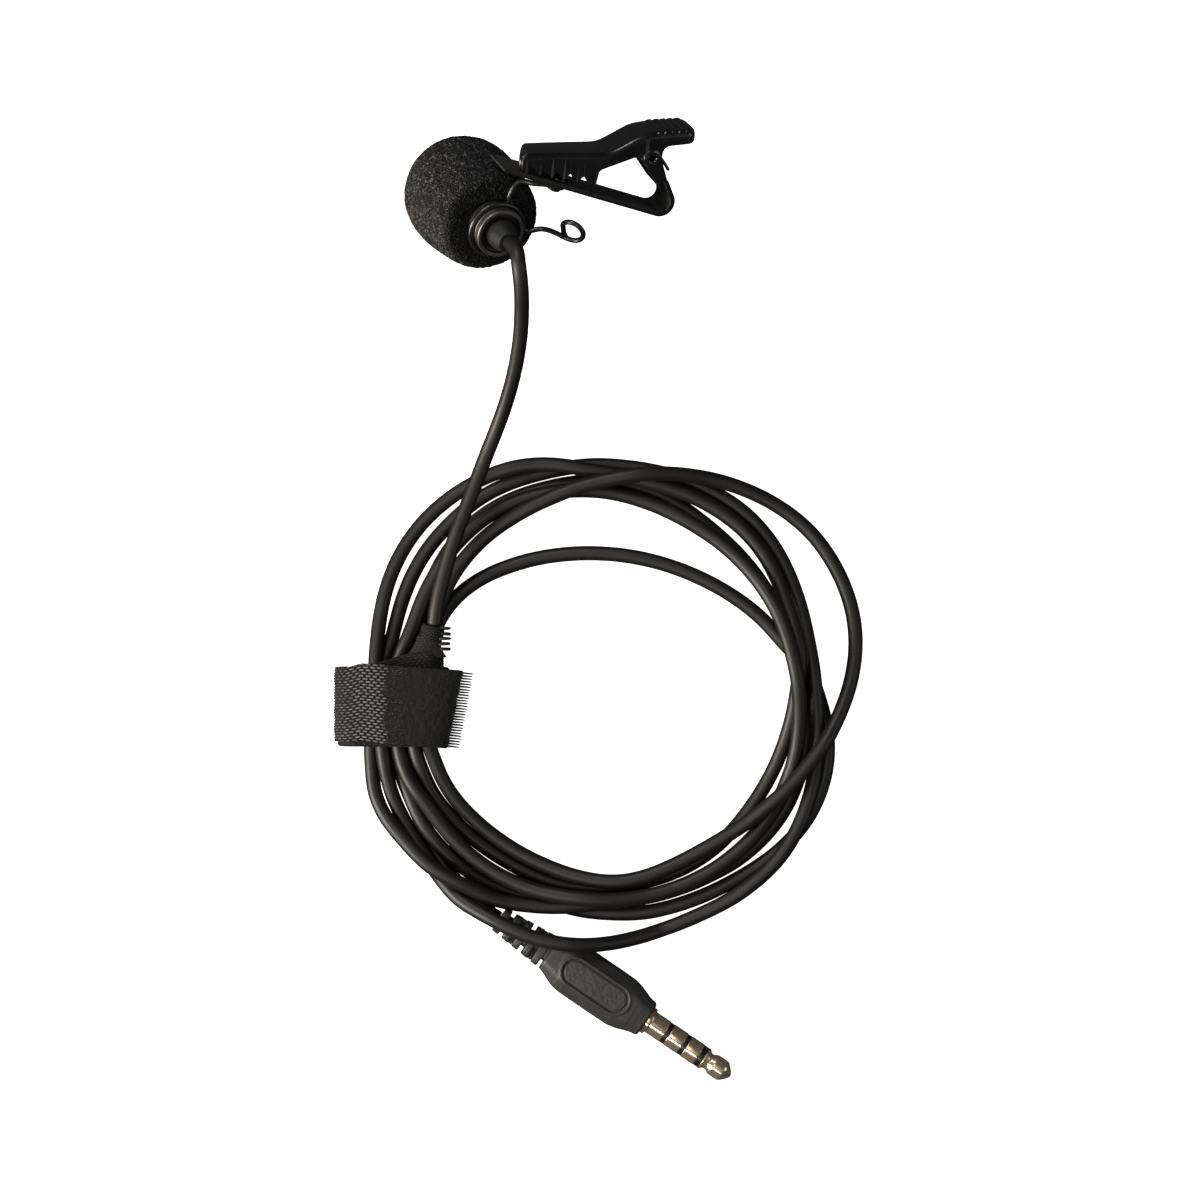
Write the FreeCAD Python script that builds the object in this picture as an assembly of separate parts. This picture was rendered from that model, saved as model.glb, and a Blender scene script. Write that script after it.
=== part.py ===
import FreeCAD, Part
import math
import os
from FreeCAD import Vector

os.makedirs("parts", exist_ok=True)

# Lavalier microphone with a tie clip, its lead coiled and strapped, and a four-pole 3.5 mm plug.
# Millimetres, +Z up. The object lies on the plane z = 0; the origin is the centre of its
# bounding box's bottom.


def unit(vector):
    return vector * (1.0 / vector.Length)


# ---- driving dimensions ----
LAYOUT_SHIFT = Vector(-0.06, 0.245, 0.0)  # from the layout frame to the origin

CABLE_R = 1.10
# Layers of the lead: name, outer radius, inner radius.
LEAD_LAYERS = [
    ("jacket", CABLE_R, 0.80),
    ("shield", 0.72, 0.60),
    ("core_insulation", 0.52, 0.27),
    ("conductor", 0.19, 0.0),
]
LEAD_TRIM = 0.45                  # cut off both cables where they meet at the strap's neck

# Head frame: origin at the centre of the windscreen's front hemisphere, axis front to rear.
HEAD_CENTRE = Vector(-20.1, 59.78, 8.7)
HEAD_AXIS = unit(Vector(0.430, -0.495, 0.755))
HEAD_SIDE = unit(Vector(0.7547, 0.656, 0.0))
HEAD_UP = HEAD_AXIS.cross(HEAD_SIDE)
FOAM_R = 8.6
FOAM_BASE = 9.8                   # flat base, along the head axis
FOAM_BORE_R = 3.68
FOAM_BORE_FLOOR = -1.1
BARREL_R, BARREL_IN_R = 3.60, 3.22
BARREL_FRONT, BARREL_REAR = -0.9, 12.2
COLLAR_REAR = 13.3
RELIEF_R = 2.2
CAN_R, CAN_IN_R = 3.0, 2.74
CAPSULE_R = 2.70                  # parts stacked in the can

WIRE_R = 0.40                     # wire holder
RING_R = 4.06                     # centreline of the holder's ring
EYE_R = 1.08                      # centreline of the eye round the rivet

# Clip frame: origin on the near flange at the nose; along the upper jaw, out of it, across.
CLIP_ORIGIN = Vector(-10.5, 63.94, 23.9)
CLIP_ALONG = unit(Vector(0.9403, 0.0623, -0.334))
CLIP_ACROSS = unit(CLIP_ALONG.cross(Vector(0.0899, 0.9023, 0.422)))
CLIP_OUT = CLIP_ACROSS.cross(CLIP_ALONG)
CLIP_WIDTH = 6.4
CLIP_FAR, CLIP_NEAR = -CLIP_WIDTH, 0.0
CLIP_MID = -CLIP_WIDTH / 2
UPPER_T, LOWER_T = 0.5, 0.65      # sheet of the two jaws
PIVOT = (19.3, -0.77)             # along, out
PIVOT_R, PIVOT_HOLE_R = 0.95, 0.50
LOWER_ANGLE = math.radians(17.3)  # between the two jaws
LOWER_DIR = (math.cos(LOWER_ANGLE), -math.sin(LOWER_ANGLE))
LOWER_NORMAL = (math.sin(LOWER_ANGLE), math.cos(LOWER_ANGLE))
LOWER_TIP = (-3.4, -2.33)         # underside of the lower jaw's tip: along, out
RIVET_RUN = (6.0 - LOWER_TIP[0]) / LOWER_DIR[0]  # holder's rivet, from the lower jaw's tip

STRAP_Y0, STRAP_Y1 = -21.95, -9.75

# Plug frame: x along the axis to the tip, z up, origin at the rear of the collar.
PLUG_AXIS = unit(Vector(0.827, -0.562, 0.0))
PLUG_SIDE = Vector(0, 0, 1).cross(PLUG_AXIS)
PLUG_Z = 3.0
PLUG_ORIGIN = Vector(7.01, -62.6, PLUG_Z)
PLUG_R = 1.75
HANDLE_LEN, HANDLE_W, HANDLE_H = 17.6, 8.0, 5.9
BOOT_X = -(PLUG_ORIGIN - Vector(-15.1685, -47.5303, PLUG_Z)).Length  # cable end of the boot
BOOT_LEN = -BOOT_X - HANDLE_LEN
LEAD_BORE_R = 1.32

# Centreline (x, y, z) of the coiled cable, from the strap's neck round the loops to the boot.
COIL = [
    (-24.48,-3.73,8.00),(-25.26,-6.11,7.63),(-25.93,-8.50,7.33),(-26.44,-10.90,7.10),
    (-26.70,-13.32,6.94),(-26.68,-15.76,6.83),(-26.35,-18.14,6.54),
    (-25.79,-20.42,5.90),(-25.07,-22.65,5.12),(-24.27,-24.83,4.42),(-23.34,-26.96,3.80),
    (-22.13,-28.98,3.28),(-20.68,-30.84,2.85),(-19.04,-32.55,2.51),
    (-17.27,-34.14,2.26),(-15.39,-35.61,2.11),(-13.43,-36.94,2.05),(-11.38,-38.14,2.08),
    (-9.24,-39.20,2.19),(-7.04,-40.12,2.39),(-4.80,-40.91,2.65),
    (-2.52,-41.51,2.92),(-0.22,-41.90,3.15),(2.09,-42.02,3.28),(4.38,-41.81,3.33),
    (6.65,-41.27,3.30),(8.88,-40.48,3.24),(11.06,-39.52,3.21),
    (13.20,-38.44,3.26),(15.30,-37.29,3.38),(17.37,-36.08,3.57),(19.41,-34.81,3.84),
    (21.39,-33.47,4.17),(23.29,-32.04,4.58),(25.12,-30.53,4.99),
    (26.93,-28.96,5.21),(28.66,-27.29,5.26),(30.24,-25.48,5.17),(31.74,-23.60,5.09),
    (33.18,-21.65,4.99),(34.42,-19.62,4.41),(35.48,-17.51,3.75),
    (36.42,-15.34,3.17),(37.19,-13.09,2.65),(37.76,-10.79,2.21),(38.11,-8.46,1.84),
    (38.22,-6.10,1.55),(38.08,-3.75,1.34),(37.68,-1.44,1.20),
    (37.03,0.83,1.13),(36.16,3.04,1.12),(35.09,5.16,1.12),(33.84,7.18,1.12),
    (32.42,9.07,1.12),(30.81,10.80,1.12),(29.03,12.34,1.17),(27.10,13.72,1.29),
    (25.06,14.93,1.49),(22.92,15.97,1.75),(20.71,16.86,2.08),(18.45,17.58,2.49),
    (16.13,18.13,2.96),(13.78,18.51,3.49),(11.41,18.74,4.09),
    (9.06,18.83,4.76),(6.69,18.74,5.33),(4.28,18.43,5.57),(1.90,18.02,5.53),
    (-0.44,17.52,5.47),(-2.73,16.90,5.47),(-5.00,16.12,5.54),(-7.23,15.21,5.50),
    (-9.41,14.22,5.27),(-11.51,13.14,4.92),(-13.55,11.94,4.50),(-15.52,10.61,4.13),
    (-17.34,9.14,3.85),(-19.00,7.52,3.66),(-20.51,5.73,3.55),
    (-21.84,3.80,3.54),(-22.93,1.72,3.61),(-23.78,-0.49,3.77),(-24.47,-2.78,4.01),
    (-25.06,-5.09,4.33),(-25.59,-7.45,4.55),(-25.96,-9.87,4.56),
    (-26.27,-12.34,4.56),(-26.85,-14.73,4.52),(-27.42,-17.00,4.53),(-27.70,-19.27,4.55),
    (-27.63,-21.55,4.54),(-27.11,-23.77,4.44),(-26.32,-25.91,3.96),
    (-25.40,-28.03,3.28),(-24.18,-30.04,2.73),(-22.71,-31.92,2.26),(-21.09,-33.68,1.88),
    (-19.35,-35.31,1.57),(-17.50,-36.81,1.35),(-15.54,-38.18,1.20),
    (-13.49,-39.42,1.13),(-11.37,-40.54,1.12),(-9.19,-41.49,1.12),(-6.94,-42.23,1.12),
    (-4.64,-42.74,1.12),(-2.28,-43.03,1.12),(0.10,-43.08,1.12),
    (2.48,-42.90,1.12),(4.83,-42.52,1.12),(7.16,-42.03,1.12),(9.43,-41.38,1.12),
    (11.64,-40.52,1.12),(13.75,-39.45,1.12),(15.75,-38.17,1.12),
    (17.60,-36.71,1.12),(19.30,-35.06,1.12),(20.86,-33.27,1.13),(22.32,-31.38,1.20),
    (23.66,-29.40,1.34),(24.89,-27.36,1.55),(25.98,-25.24,1.84),
    (26.92,-23.05,2.20),(27.71,-20.80,2.63),(28.37,-18.50,3.14),(28.89,-16.19,3.72),
    (29.26,-13.89,4.40),(29.56,-11.58,5.09),(29.72,-9.12,5.48),
    (29.53,-6.67,5.51),(28.97,-4.32,5.06),(28.25,-2.05,4.45),(27.53,0.21,3.89),
    (26.71,2.44,3.41),(25.72,4.60,3.01),(24.54,6.65,2.69),(23.16,8.56,2.46),
    (21.57,10.29,2.31),(19.80,11.84,2.24),(17.90,13.21,2.25),(15.87,14.40,2.33),
    (13.74,15.45,2.49),(11.53,16.34,2.73),(9.25,17.08,3.00),(6.92,17.70,3.15),
    (4.59,18.25,3.23),(2.24,18.71,3.26),(-0.12,19.13,3.30),(-2.48,19.55,3.42),
    (-4.83,19.94,3.46),(-7.21,20.19,3.30),(-9.58,20.21,3.02),
    (-11.92,19.97,2.65),(-14.21,19.44,2.23),(-16.43,18.64,1.87),(-18.58,17.64,1.57),
    (-20.65,16.47,1.35),(-22.61,15.14,1.21),(-24.45,13.64,1.13),
    (-26.15,11.98,1.12),(-27.68,10.18,1.15),(-29.04,8.23,1.25),(-30.20,6.17,1.42),
    (-31.15,4.00,1.67),(-31.91,1.75,1.99),(-32.48,-0.56,2.38),
    (-32.88,-2.91,2.85),(-33.16,-5.29,3.39),(-33.36,-7.67,4.00),(-33.42,-10.06,4.45),
    (-33.32,-12.46,4.58),(-33.15,-14.86,4.59),(-32.96,-17.26,4.46),
    (-32.73,-19.65,4.23),(-32.45,-22.04,4.06),(-32.10,-24.44,3.87),(-31.63,-26.83,3.50),
    (-30.93,-29.19,3.13),(-30.02,-31.37,2.82),(-28.96,-33.46,2.65),
    (-27.73,-35.51,2.70),(-26.50,-37.56,2.87),(-25.20,-39.57,3.07),(-23.80,-41.51,3.32),
    (-22.27,-43.36,3.83),(-20.48,-44.91,4.71),(-18.44,-46.13,5.58),
    (-16.28,-47.27,6.41),(-14.11,-48.35,6.90),(-11.96,-49.30,7.10),(-9.72,-50.08,7.15),
    (-7.42,-50.66,7.10),(-5.08,-51.05,6.95),(-2.71,-51.23,6.55),
    (-0.33,-51.20,5.71),(2.05,-51.00,4.55),(4.41,-50.62,3.30),(6.74,-50.10,2.19),
    (9.03,-49.43,1.21),(11.29,-48.63,1.26),(13.49,-47.71,1.39),
    (15.67,-46.72,1.60),(17.81,-45.66,1.88),(19.87,-44.47,2.23),(21.83,-43.09,2.63),
    (23.69,-41.58,2.95),(25.42,-39.94,3.20),(26.97,-38.15,3.39),
    (28.31,-36.20,3.48),(29.44,-34.12,3.44),(30.38,-31.95,3.28),(31.15,-29.71,3.07),
    (31.74,-27.41,2.88),(32.14,-25.07,2.77),(32.38,-22.69,2.73),
    (32.46,-20.31,2.88),(32.44,-17.93,3.15),(32.31,-15.54,3.38),(32.11,-13.15,3.47),
    (31.85,-10.75,3.39),(31.50,-8.37,2.96),(31.09,-6.02,2.48),
    (30.62,-3.68,2.07),(30.05,-1.36,1.74),(29.36,0.92,1.47),(28.53,3.16,1.28),
    (27.55,5.33,1.17),(26.41,7.40,1.12),(25.07,9.35,1.12),(23.56,11.16,1.12),
    (21.88,12.82,1.12),(20.01,14.27,1.12),(18.00,15.55,1.12),(15.88,16.65,1.12),
    (13.69,17.57,1.12),(11.44,18.37,1.12),(9.15,19.03,1.12),(6.83,19.52,1.12),
    (4.48,19.85,1.12),(2.10,20.08,1.12),(-0.28,20.18,1.12),(-2.66,20.07,1.12),
    (-5.04,19.76,1.12),(-7.41,19.29,1.12),(-9.78,18.71,1.12),
    (-12.13,17.99,1.12),(-14.40,17.11,1.12),(-16.54,16.07,1.12),(-18.54,14.81,1.12),
    (-20.41,13.36,1.12),(-22.17,11.74,1.12),(-23.82,10.03,1.12),
    (-25.34,8.20,1.12),(-26.68,6.25,1.12),(-27.84,4.18,1.14),(-28.83,2.01,1.22),
    (-29.64,-0.23,1.38),(-30.30,-2.52,1.61),(-30.88,-4.84,1.91),
    (-31.53,-7.12,2.23),(-32.37,-9.40,2.24),(-32.90,-11.82,2.24),(-33.19,-14.22,2.24),
    (-33.62,-16.57,2.24),(-34.01,-18.90,2.25),(-34.19,-21.23,2.33),
    (-34.15,-23.57,2.48),(-33.98,-25.94,2.70),(-33.66,-28.30,3.00),(-32.90,-30.56,3.39),
    (-31.69,-32.71,3.84),(-30.19,-34.62,4.31),(-28.63,-36.40,4.71),
    (-26.99,-38.11,5.13),(-25.18,-39.65,5.43),(-23.17,-40.95,5.53),(-21.02,-42.03,5.33),
    (-18.94,-43.12,4.86),(-16.87,-44.16,4.44),(-14.64,-44.87,4.09),
    (-12.30,-45.33,3.82),(-9.93,-45.60,3.62),(-7.55,-45.75,3.49),(-5.15,-45.73,3.44),
    (-2.76,-45.54,3.26),(-0.38,-45.30,2.93),(2.00,-45.05,2.52),
    (4.37,-44.80,2.11),(6.74,-44.46,1.77),(9.06,-43.95,1.50),(11.34,-43.29,1.30),
    (13.56,-42.50,1.18),(15.73,-41.56,1.12),(17.88,-40.49,1.12),
    (19.94,-39.30,1.12),(21.87,-37.92,1.12),(23.65,-36.36,1.12),(25.28,-34.65,1.12),
    (26.73,-32.77,1.12),(27.98,-30.74,1.12),(28.99,-28.59,1.12),
    (29.79,-26.37,1.12),(30.38,-24.08,1.12),(30.72,-21.74,1.12),(30.89,-19.38,1.21),
    (30.83,-17.02,1.47),(30.45,-14.70,1.88),(29.87,-12.37,2.47),
    (29.26,-10.04,3.05),(28.75,-7.72,3.40),(28.18,-5.41,3.10),(27.32,-3.21,2.59),
    (26.25,-1.07,2.16),(25.08,1.01,1.80),(23.80,3.02,1.52),(22.38,4.92,1.32),
    (20.82,6.71,1.19),(19.14,8.40,1.12),(17.37,10.00,1.12),(15.53,11.54,1.12),
    (13.62,12.98,1.12),(11.62,14.28,1.12),(9.53,15.38,1.12),(7.36,16.30,1.12),
    (5.13,17.04,1.12),(2.85,17.58,1.12),(0.53,17.80,1.12),(-1.83,17.76,1.12),
    (-4.20,17.51,1.12),(-6.52,17.09,1.12),(-8.79,16.56,1.12),(-11.00,15.91,1.12),
    (-13.15,15.10,1.12),(-15.26,14.07,1.12),(-17.25,12.82,1.12),(-19.11,11.38,1.12),
    (-20.80,9.75,1.12),(-22.29,7.91,1.12),(-23.59,5.92,1.12),
    (-24.68,3.82,1.12),(-25.57,1.63,1.19),(-26.25,-0.64,1.34),(-26.80,-2.97,1.59),
    (-27.31,-5.37,1.94),(-27.70,-7.77,2.32),(-27.97,-10.05,3.00),
    (-28.49,-12.34,3.73),(-29.27,-14.70,4.13),(-29.81,-17.09,4.28),(-30.04,-19.53,4.31),
    (-29.96,-21.92,4.38),(-29.43,-24.23,4.51),(-28.54,-26.45,4.72),
    (-27.30,-28.46,4.88),(-25.88,-30.37,4.68),(-24.50,-32.31,4.31),(-23.06,-34.20,4.01),
    (-21.49,-35.99,3.80),(-19.77,-37.64,3.68),(-17.92,-39.12,3.64),
    (-15.94,-40.44,3.69),(-13.86,-41.57,3.84),(-11.68,-42.52,4.07),(-9.42,-43.27,4.39),
    (-7.12,-43.81,4.79),(-4.76,-44.17,5.19),(-2.36,-44.45,5.32),
    (0.02,-44.62,5.16),(2.39,-44.62,4.82),(4.75,-44.44,4.42),(7.10,-44.06,4.08),
    (9.42,-43.51,3.81),(11.68,-42.77,3.60),(13.87,-41.85,3.46),
    (15.98,-40.76,3.39),(17.99,-39.49,3.33),(19.89,-38.07,3.23),(21.67,-36.49,3.14),
    (23.31,-34.77,3.04),(24.78,-32.91,2.94),(26.07,-30.92,2.85),
    (27.16,-28.82,2.86),(28.05,-26.62,3.07),(28.77,-24.37,3.58),(29.28,-22.07,4.20),
    (29.57,-19.72,4.89),(29.67,-17.35,5.66),(29.61,-14.99,6.47),
    (29.37,-12.63,7.22),(28.96,-10.27,7.59),(28.43,-7.91,7.53),(27.80,-5.59,7.12),
    (27.03,-3.36,6.49),(26.06,-1.22,5.83),(24.89,0.84,5.24),
    (23.54,2.80,4.71),(22.04,4.64,4.27),(20.40,6.36,3.89),(18.63,7.95,3.59),
    (16.74,9.41,3.36),(14.75,10.73,3.20),(12.70,11.95,3.04),(10.58,13.05,2.86),
    (8.41,14.03,2.75),(6.17,14.86,2.70),(3.89,15.54,2.71),(1.57,16.03,2.79),
    (-0.78,16.31,2.94),(-3.14,16.37,3.11),(-5.50,16.24,3.23),(-7.84,15.93,3.32),
    (-10.17,15.41,3.36),(-12.45,14.67,3.37),(-14.62,13.74,3.38),(-16.66,12.55,3.39),
    (-18.56,11.12,3.41),(-20.34,9.50,3.43),(-21.95,7.73,3.45),
    (-23.36,5.81,3.47),(-24.60,3.77,3.49),(-25.73,1.67,3.55),(-26.70,-0.49,3.67),
    (-27.52,-2.72,3.83),(-28.34,-4.97,4.04),(-29.32,-7.25,3.97),
    (-30.26,-9.60,3.37),(-30.58,-12.00,2.68),(-30.71,-14.43,2.28),(-30.97,-16.81,2.24),
    (-31.15,-19.15,2.24),(-31.05,-21.44,2.24),(-30.57,-23.66,2.24),
    (-29.78,-25.83,2.41),(-28.92,-28.01,2.72),(-27.99,-30.18,3.11),(-26.99,-32.37,3.41),
    (-25.75,-34.41,3.47),(-24.28,-36.28,3.27),(-22.67,-38.01,2.84),
    (-20.92,-39.58,2.38),(-19.01,-40.94,2.00),(-16.95,-42.10,1.68),(-14.79,-43.08,1.43),
    (-12.54,-43.89,1.26),(-10.25,-44.58,1.15),(-7.94,-45.18,1.12),
    (-5.61,-45.77,1.12),(-3.28,-46.34,1.12),(-0.90,-46.71,1.12),(1.51,-46.89,1.12),
    (3.91,-46.94,1.12),(6.28,-46.81,1.12),(8.63,-46.43,1.12),
    (10.95,-45.85,1.12),(13.24,-45.11,1.12),(15.50,-44.24,1.12),(17.68,-43.24,1.12),
    (19.80,-42.15,1.12),(21.87,-40.99,1.12),(23.87,-39.72,1.12),
    (25.78,-38.32,1.12),(27.58,-36.77,1.12),(29.23,-35.08,1.12),(30.68,-33.22,1.12),
    (31.89,-31.20,1.12),(32.84,-29.05,1.12),(33.54,-26.81,1.12),
    (33.97,-24.51,1.12),(34.12,-22.17,1.12),(33.98,-19.83,1.12),(33.58,-17.52,1.12),
    (32.96,-15.24,1.12),(32.21,-12.97,1.12),(31.22,-10.80,1.12),
    (29.90,-8.81,1.12),(28.16,-7.11,1.12),(26.55,-5.33,1.12),(24.97,-3.56,1.12),
    (23.24,-1.94,1.12),(21.37,-0.46,1.12),(19.40,0.88,1.12),(17.34,2.10,1.12),
    (15.21,3.18,1.12),(13.02,4.14,1.12),(10.78,4.97,1.12),(8.50,5.67,1.12),
    (6.17,6.22,1.12),(3.82,6.63,1.12),(1.45,6.88,1.12),(-0.94,6.99,1.12),
    (-3.33,6.97,1.12),(-5.72,6.79,1.12),(-8.08,6.47,1.12),(-10.42,5.99,1.12),
    (-12.71,5.35,1.12),(-14.96,4.54,1.12),(-17.11,3.56,1.12),(-19.11,2.36,1.13),
    (-20.93,0.93,1.21),(-22.51,-0.77,1.37),(-23.82,-2.68,1.59),(-24.74,-4.79,1.89),
    (-25.23,-7.05,2.23),(-25.56,-9.45,2.24),(-26.28,-11.89,2.24),
    (-27.25,-14.10,2.24),(-27.80,-16.40,2.24),(-27.98,-18.80,2.24),(-28.00,-21.17,2.24),
    (-27.85,-23.50,2.24),(-27.36,-25.80,1.85),(-26.93,-28.19,1.28),
    (-26.69,-30.63,1.12),(-26.33,-33.01,1.12),(-25.71,-35.31,1.12),(-24.78,-37.45,1.12),
    (-23.59,-39.44,1.14),(-22.21,-41.29,1.39),(-20.62,-43.00,1.93),
    (-18.84,-44.57,2.62),(-17.00,-46.19,2.98),(-15.17,-47.53,3.00),
]
# Centreline (x, y, z) of the microphone's lead, from the strap's neck to the head.
LEAD = [
    COIL[0], (-24.35, -2.2, 8.1), (-24.0, 0.0, 8.2), (-22.9, 4.5, 8.25), (-21.3, 9.7, 8.3),
    (-19.3, 14.9, 8.4), (-16.8, 21.4, 9.0), (-14.7, 26.6, 10.8), (-12.8, 32.3, 14.2),
    (-11.6, 38.4, 18.2), (-11.33, 42.55, 21.0), (-11.43, 45.75, 23.1), (-11.74, 48.53, 23.93),
    (-12.16, 50.65, 22.8), (-13.112, 51.736, 20.969), (-13.822, 52.553, 19.723),
    (-14.51, 53.345, 18.515),
]


# ---- helpers ----
def export(name, shape):
    moved = shape.copy()
    moved.translate(LAYOUT_SHIFT)
    if moved.ShapeType == "Compound" and len(moved.Solids) == 1:
        moved = moved.Solids[0]
    moved.exportStep("parts/%s.step" % name)


def placed(shape, origin, ex, ey, ez):
    """Moves a shape from a local frame to the layout frame."""
    matrix = FreeCAD.Matrix(ex.x, ey.x, ez.x, origin.x,
                            ex.y, ey.y, ez.y, origin.y,
                            ex.z, ey.z, ez.z, origin.z,
                            0, 0, 0, 1)
    moved = shape.copy()
    moved.Placement = FreeCAD.Placement(matrix).multiply(moved.Placement)
    return moved


def export_head(name, shape):
    export(name, placed(shape, HEAD_CENTRE, HEAD_SIDE, HEAD_UP, HEAD_AXIS))


def export_clip(name, shape):
    export(name, placed(shape, CLIP_ORIGIN, CLIP_ALONG, CLIP_OUT, CLIP_ACROSS))


def export_plug(name, shape):
    export(name, placed(shape, PLUG_ORIGIN, PLUG_AXIS, PLUG_SIDE, Vector(0, 0, 1)))


def lower_xy(run, height):
    """Clip (along, out) of a point run mm from the lower jaw's tip, height mm off its underside."""
    return tuple(LOWER_TIP[i] + run * LOWER_DIR[i] + height * LOWER_NORMAL[i] for i in (0, 1))


def lower_point(run, height, across):
    along, out = lower_xy(run, height)
    return CLIP_ORIGIN + CLIP_ALONG * along + CLIP_OUT * out + CLIP_ACROSS * across


def vectors(rows):
    return [Vector(*row) for row in rows]


def closed_face(points):
    return Part.Face(Part.makePolygon(points + [points[0]]))


def revolve(profile):
    """Closed (r, z) profile turned about local Z."""
    face = closed_face([Vector(r, 0, z) for r, z in profile])
    return face.revolve(Vector(0, 0, 0), Vector(0, 0, 1), 360)


def revolve_x(profile):
    """Closed (x, r) profile turned about local X."""
    face = closed_face([Vector(x, r, 0) for x, r in profile])
    return face.revolve(Vector(0, 0, 0), Vector(1, 0, 0), 360)


def disc(radius, z0, z1):
    return Part.makeCylinder(radius, z1 - z0, Vector(0, 0, z0))


def polygon(points, z0, z1):
    """Flat (x, y) outline extruded along local Z."""
    return closed_face([Vector(x, y, z0) for x, y in points]).extrude(Vector(0, 0, z1 - z0))


def fused(shapes):
    return shapes[0].multiFuse(shapes[1:]).removeSplitter()


def arc(centre, radius, start, end, steps):
    """Points on an arc, angles in degrees."""
    angles = [math.radians(start + (end - start) * i / steps) for i in range(steps + 1)]
    return [(centre[0] + radius * math.cos(a), centre[1] + radius * math.sin(a))
            for a in angles]


def spine(points):
    curve = Part.BSplineCurve()
    curve.interpolate(points)
    return curve


def trimmed(rows):
    """A centreline cut back by LEAD_TRIM at its start and evenly resampled."""
    edge = spine(vectors(rows)).toShape()
    run = edge.Length - LEAD_TRIM
    count = len(rows)
    return [edge.valueAt(edge.getParameterByLength(LEAD_TRIM + run * i / count))
            for i in range(count + 1)]


def pipe(curve, radius):
    """Round rod along a curve, its path split into short edges."""
    knots = curve.getKnots()
    spans = len(knots) - 1
    count = max(1, round(spans / 5))
    breaks = [knots[round(j * spans / count)] for j in range(count + 1)]
    path = Part.Wire([curve.toShape(a, b) for a, b in zip(breaks[:-1], breaks[1:])])
    shell = Part.BRepOffsetAPI.MakePipeShell(path)
    shell.setTolerance(0.01, 0.01, 0.01)
    shell.setFrenetMode(False)
    start, tangent = curve.value(breaks[0]), curve.tangent(breaks[0])[0]
    shell.add(Part.Wire([Part.Circle(start, tangent, radius).toShape()]))
    shell.build()
    shell.makeSolid()
    return shell.shape()


def ends_and_sides(shape):
    ends, sides = [], []
    for face in shape.Faces:
        (ends if isinstance(face.Surface, Part.Plane) else sides).append(face)
    return ends, sides


def sweep(points, r_out, r_in=0.0):
    """Rod or tube along points; a tube is sewn from two rods' sides and annular ends."""
    curve = spine(points)
    rod = pipe(curve, r_out)
    if r_in <= 0:
        return rod
    outer_ends, outer_sides = ends_and_sides(rod)
    inner_ends, inner_sides = ends_and_sides(pipe(curve, r_in))
    faces = outer_sides + inner_sides
    for end in outer_ends:
        hole = min(inner_ends, key=lambda f: (f.CenterOfMass - end.CenterOfMass).Length)
        faces.append(Part.makeFace([end.OuterWire, hole.OuterWire], "Part::FaceMakerBullseye"))
    shell = Part.makeShell(faces)
    shell.sewShape()
    # sewing may wrap the shell in a compound
    solid = Part.makeSolid(shell.Shells[0] if shell.ShapeType != "Shell" else shell)
    if solid.Volume < 0:
        solid.reverse()
    if not solid.isValid():
        solid.fix(1e-4, 1e-4, 1e-3)
    return solid


# ---- microphone head ----
# Foam side behind the hemisphere, with its rounded base edge: (r, z).
FOAM_SIDE = [(8.55, 1.5), (8.42, 3.0), (8.22, 4.6), (7.98, 6.2), (7.75, 7.6), (7.6, 8.6),
             (7.45, 9.15), (7.1, 9.6), (6.6, FOAM_BASE)]


def foam():
    """Windscreen: hemisphere, gentle taper and a blind bore from the base."""
    angles = [math.radians(a) for a in range(0, 91, 6)]
    rows = [(FOAM_R * math.sin(a), -FOAM_R * math.cos(a)) for a in angles] + FOAM_SIDE
    outer = [Vector(r, 0, z) for r, z in rows]
    bore = [(FOAM_BORE_R, FOAM_BASE), (FOAM_BORE_R, FOAM_BORE_FLOOR), (0.0, FOAM_BORE_FLOOR)]
    inner = [outer[-1]] + [Vector(r, 0, z) for r, z in bore] + [outer[0]]
    edges = [spine(outer).toShape()]
    edges += [Part.makeLine(a, b) for a, b in zip(inner[:-1], inner[1:])]
    return Part.Face(Part.Wire(edges)).revolve(Vector(0, 0, 0), Vector(0, 0, 1), 360)


export_head("foam_windscreen", foam())

# Turned parts on the head axis: closed (r, z) profiles.
HEAD_PROFILES = {
    # tube with a rolled-in front lip
    "capsule_housing": [
        (2.7, BARREL_FRONT), (3.3, BARREL_FRONT), (BARREL_R, BARREL_FRONT + 0.3),
        (BARREL_R, BARREL_REAR), (BARREL_IN_R, BARREL_REAR),
        (BARREL_IN_R, BARREL_FRONT + 0.4), (2.7, BARREL_FRONT + 0.4)],
    # recessed ring with a spigot that enters the tube
    "rear_collar": [
        (2.25, 11.2), (3.17, 11.2), (3.17, BARREL_REAR + 0.02), (3.62, BARREL_REAR + 0.02),
        (3.70, BARREL_REAR + 0.12), (3.70, COLLAR_REAR - 0.15), (3.55, COLLAR_REAR),
        (3.05, COLLAR_REAR), (2.95, COLLAR_REAR - 0.45), (2.25, COLLAR_REAR - 0.45)],
    # drawn can with a front sound hole
    "electret_can": [
        (0.9, 0.30), (CAN_R, 0.30), (CAN_R, 5.50), (CAN_IN_R, 5.50), (CAN_IN_R, 0.56),
        (0.9, 0.56)],
    "gate_carrier": [
        (2.50, 1.04), (CAPSULE_R, 1.04), (CAPSULE_R, 4.30), (2.10, 4.30), (2.10, 1.46),
        (2.50, 1.46)],
    # flanged stub that holds the lead's end in the collar
    "lead_strain_relief": [
        (1.19, 10.6), (2.9, 10.6), (2.9, 11.15), (RELIEF_R, 11.15), (RELIEF_R, 14.6),
        (2.0, 15.6), (1.78, 16.2), (1.5, 16.2), (1.19, 13.6)],
}
for name, profile in HEAD_PROFILES.items():
    export_head(name, revolve(profile))

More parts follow.
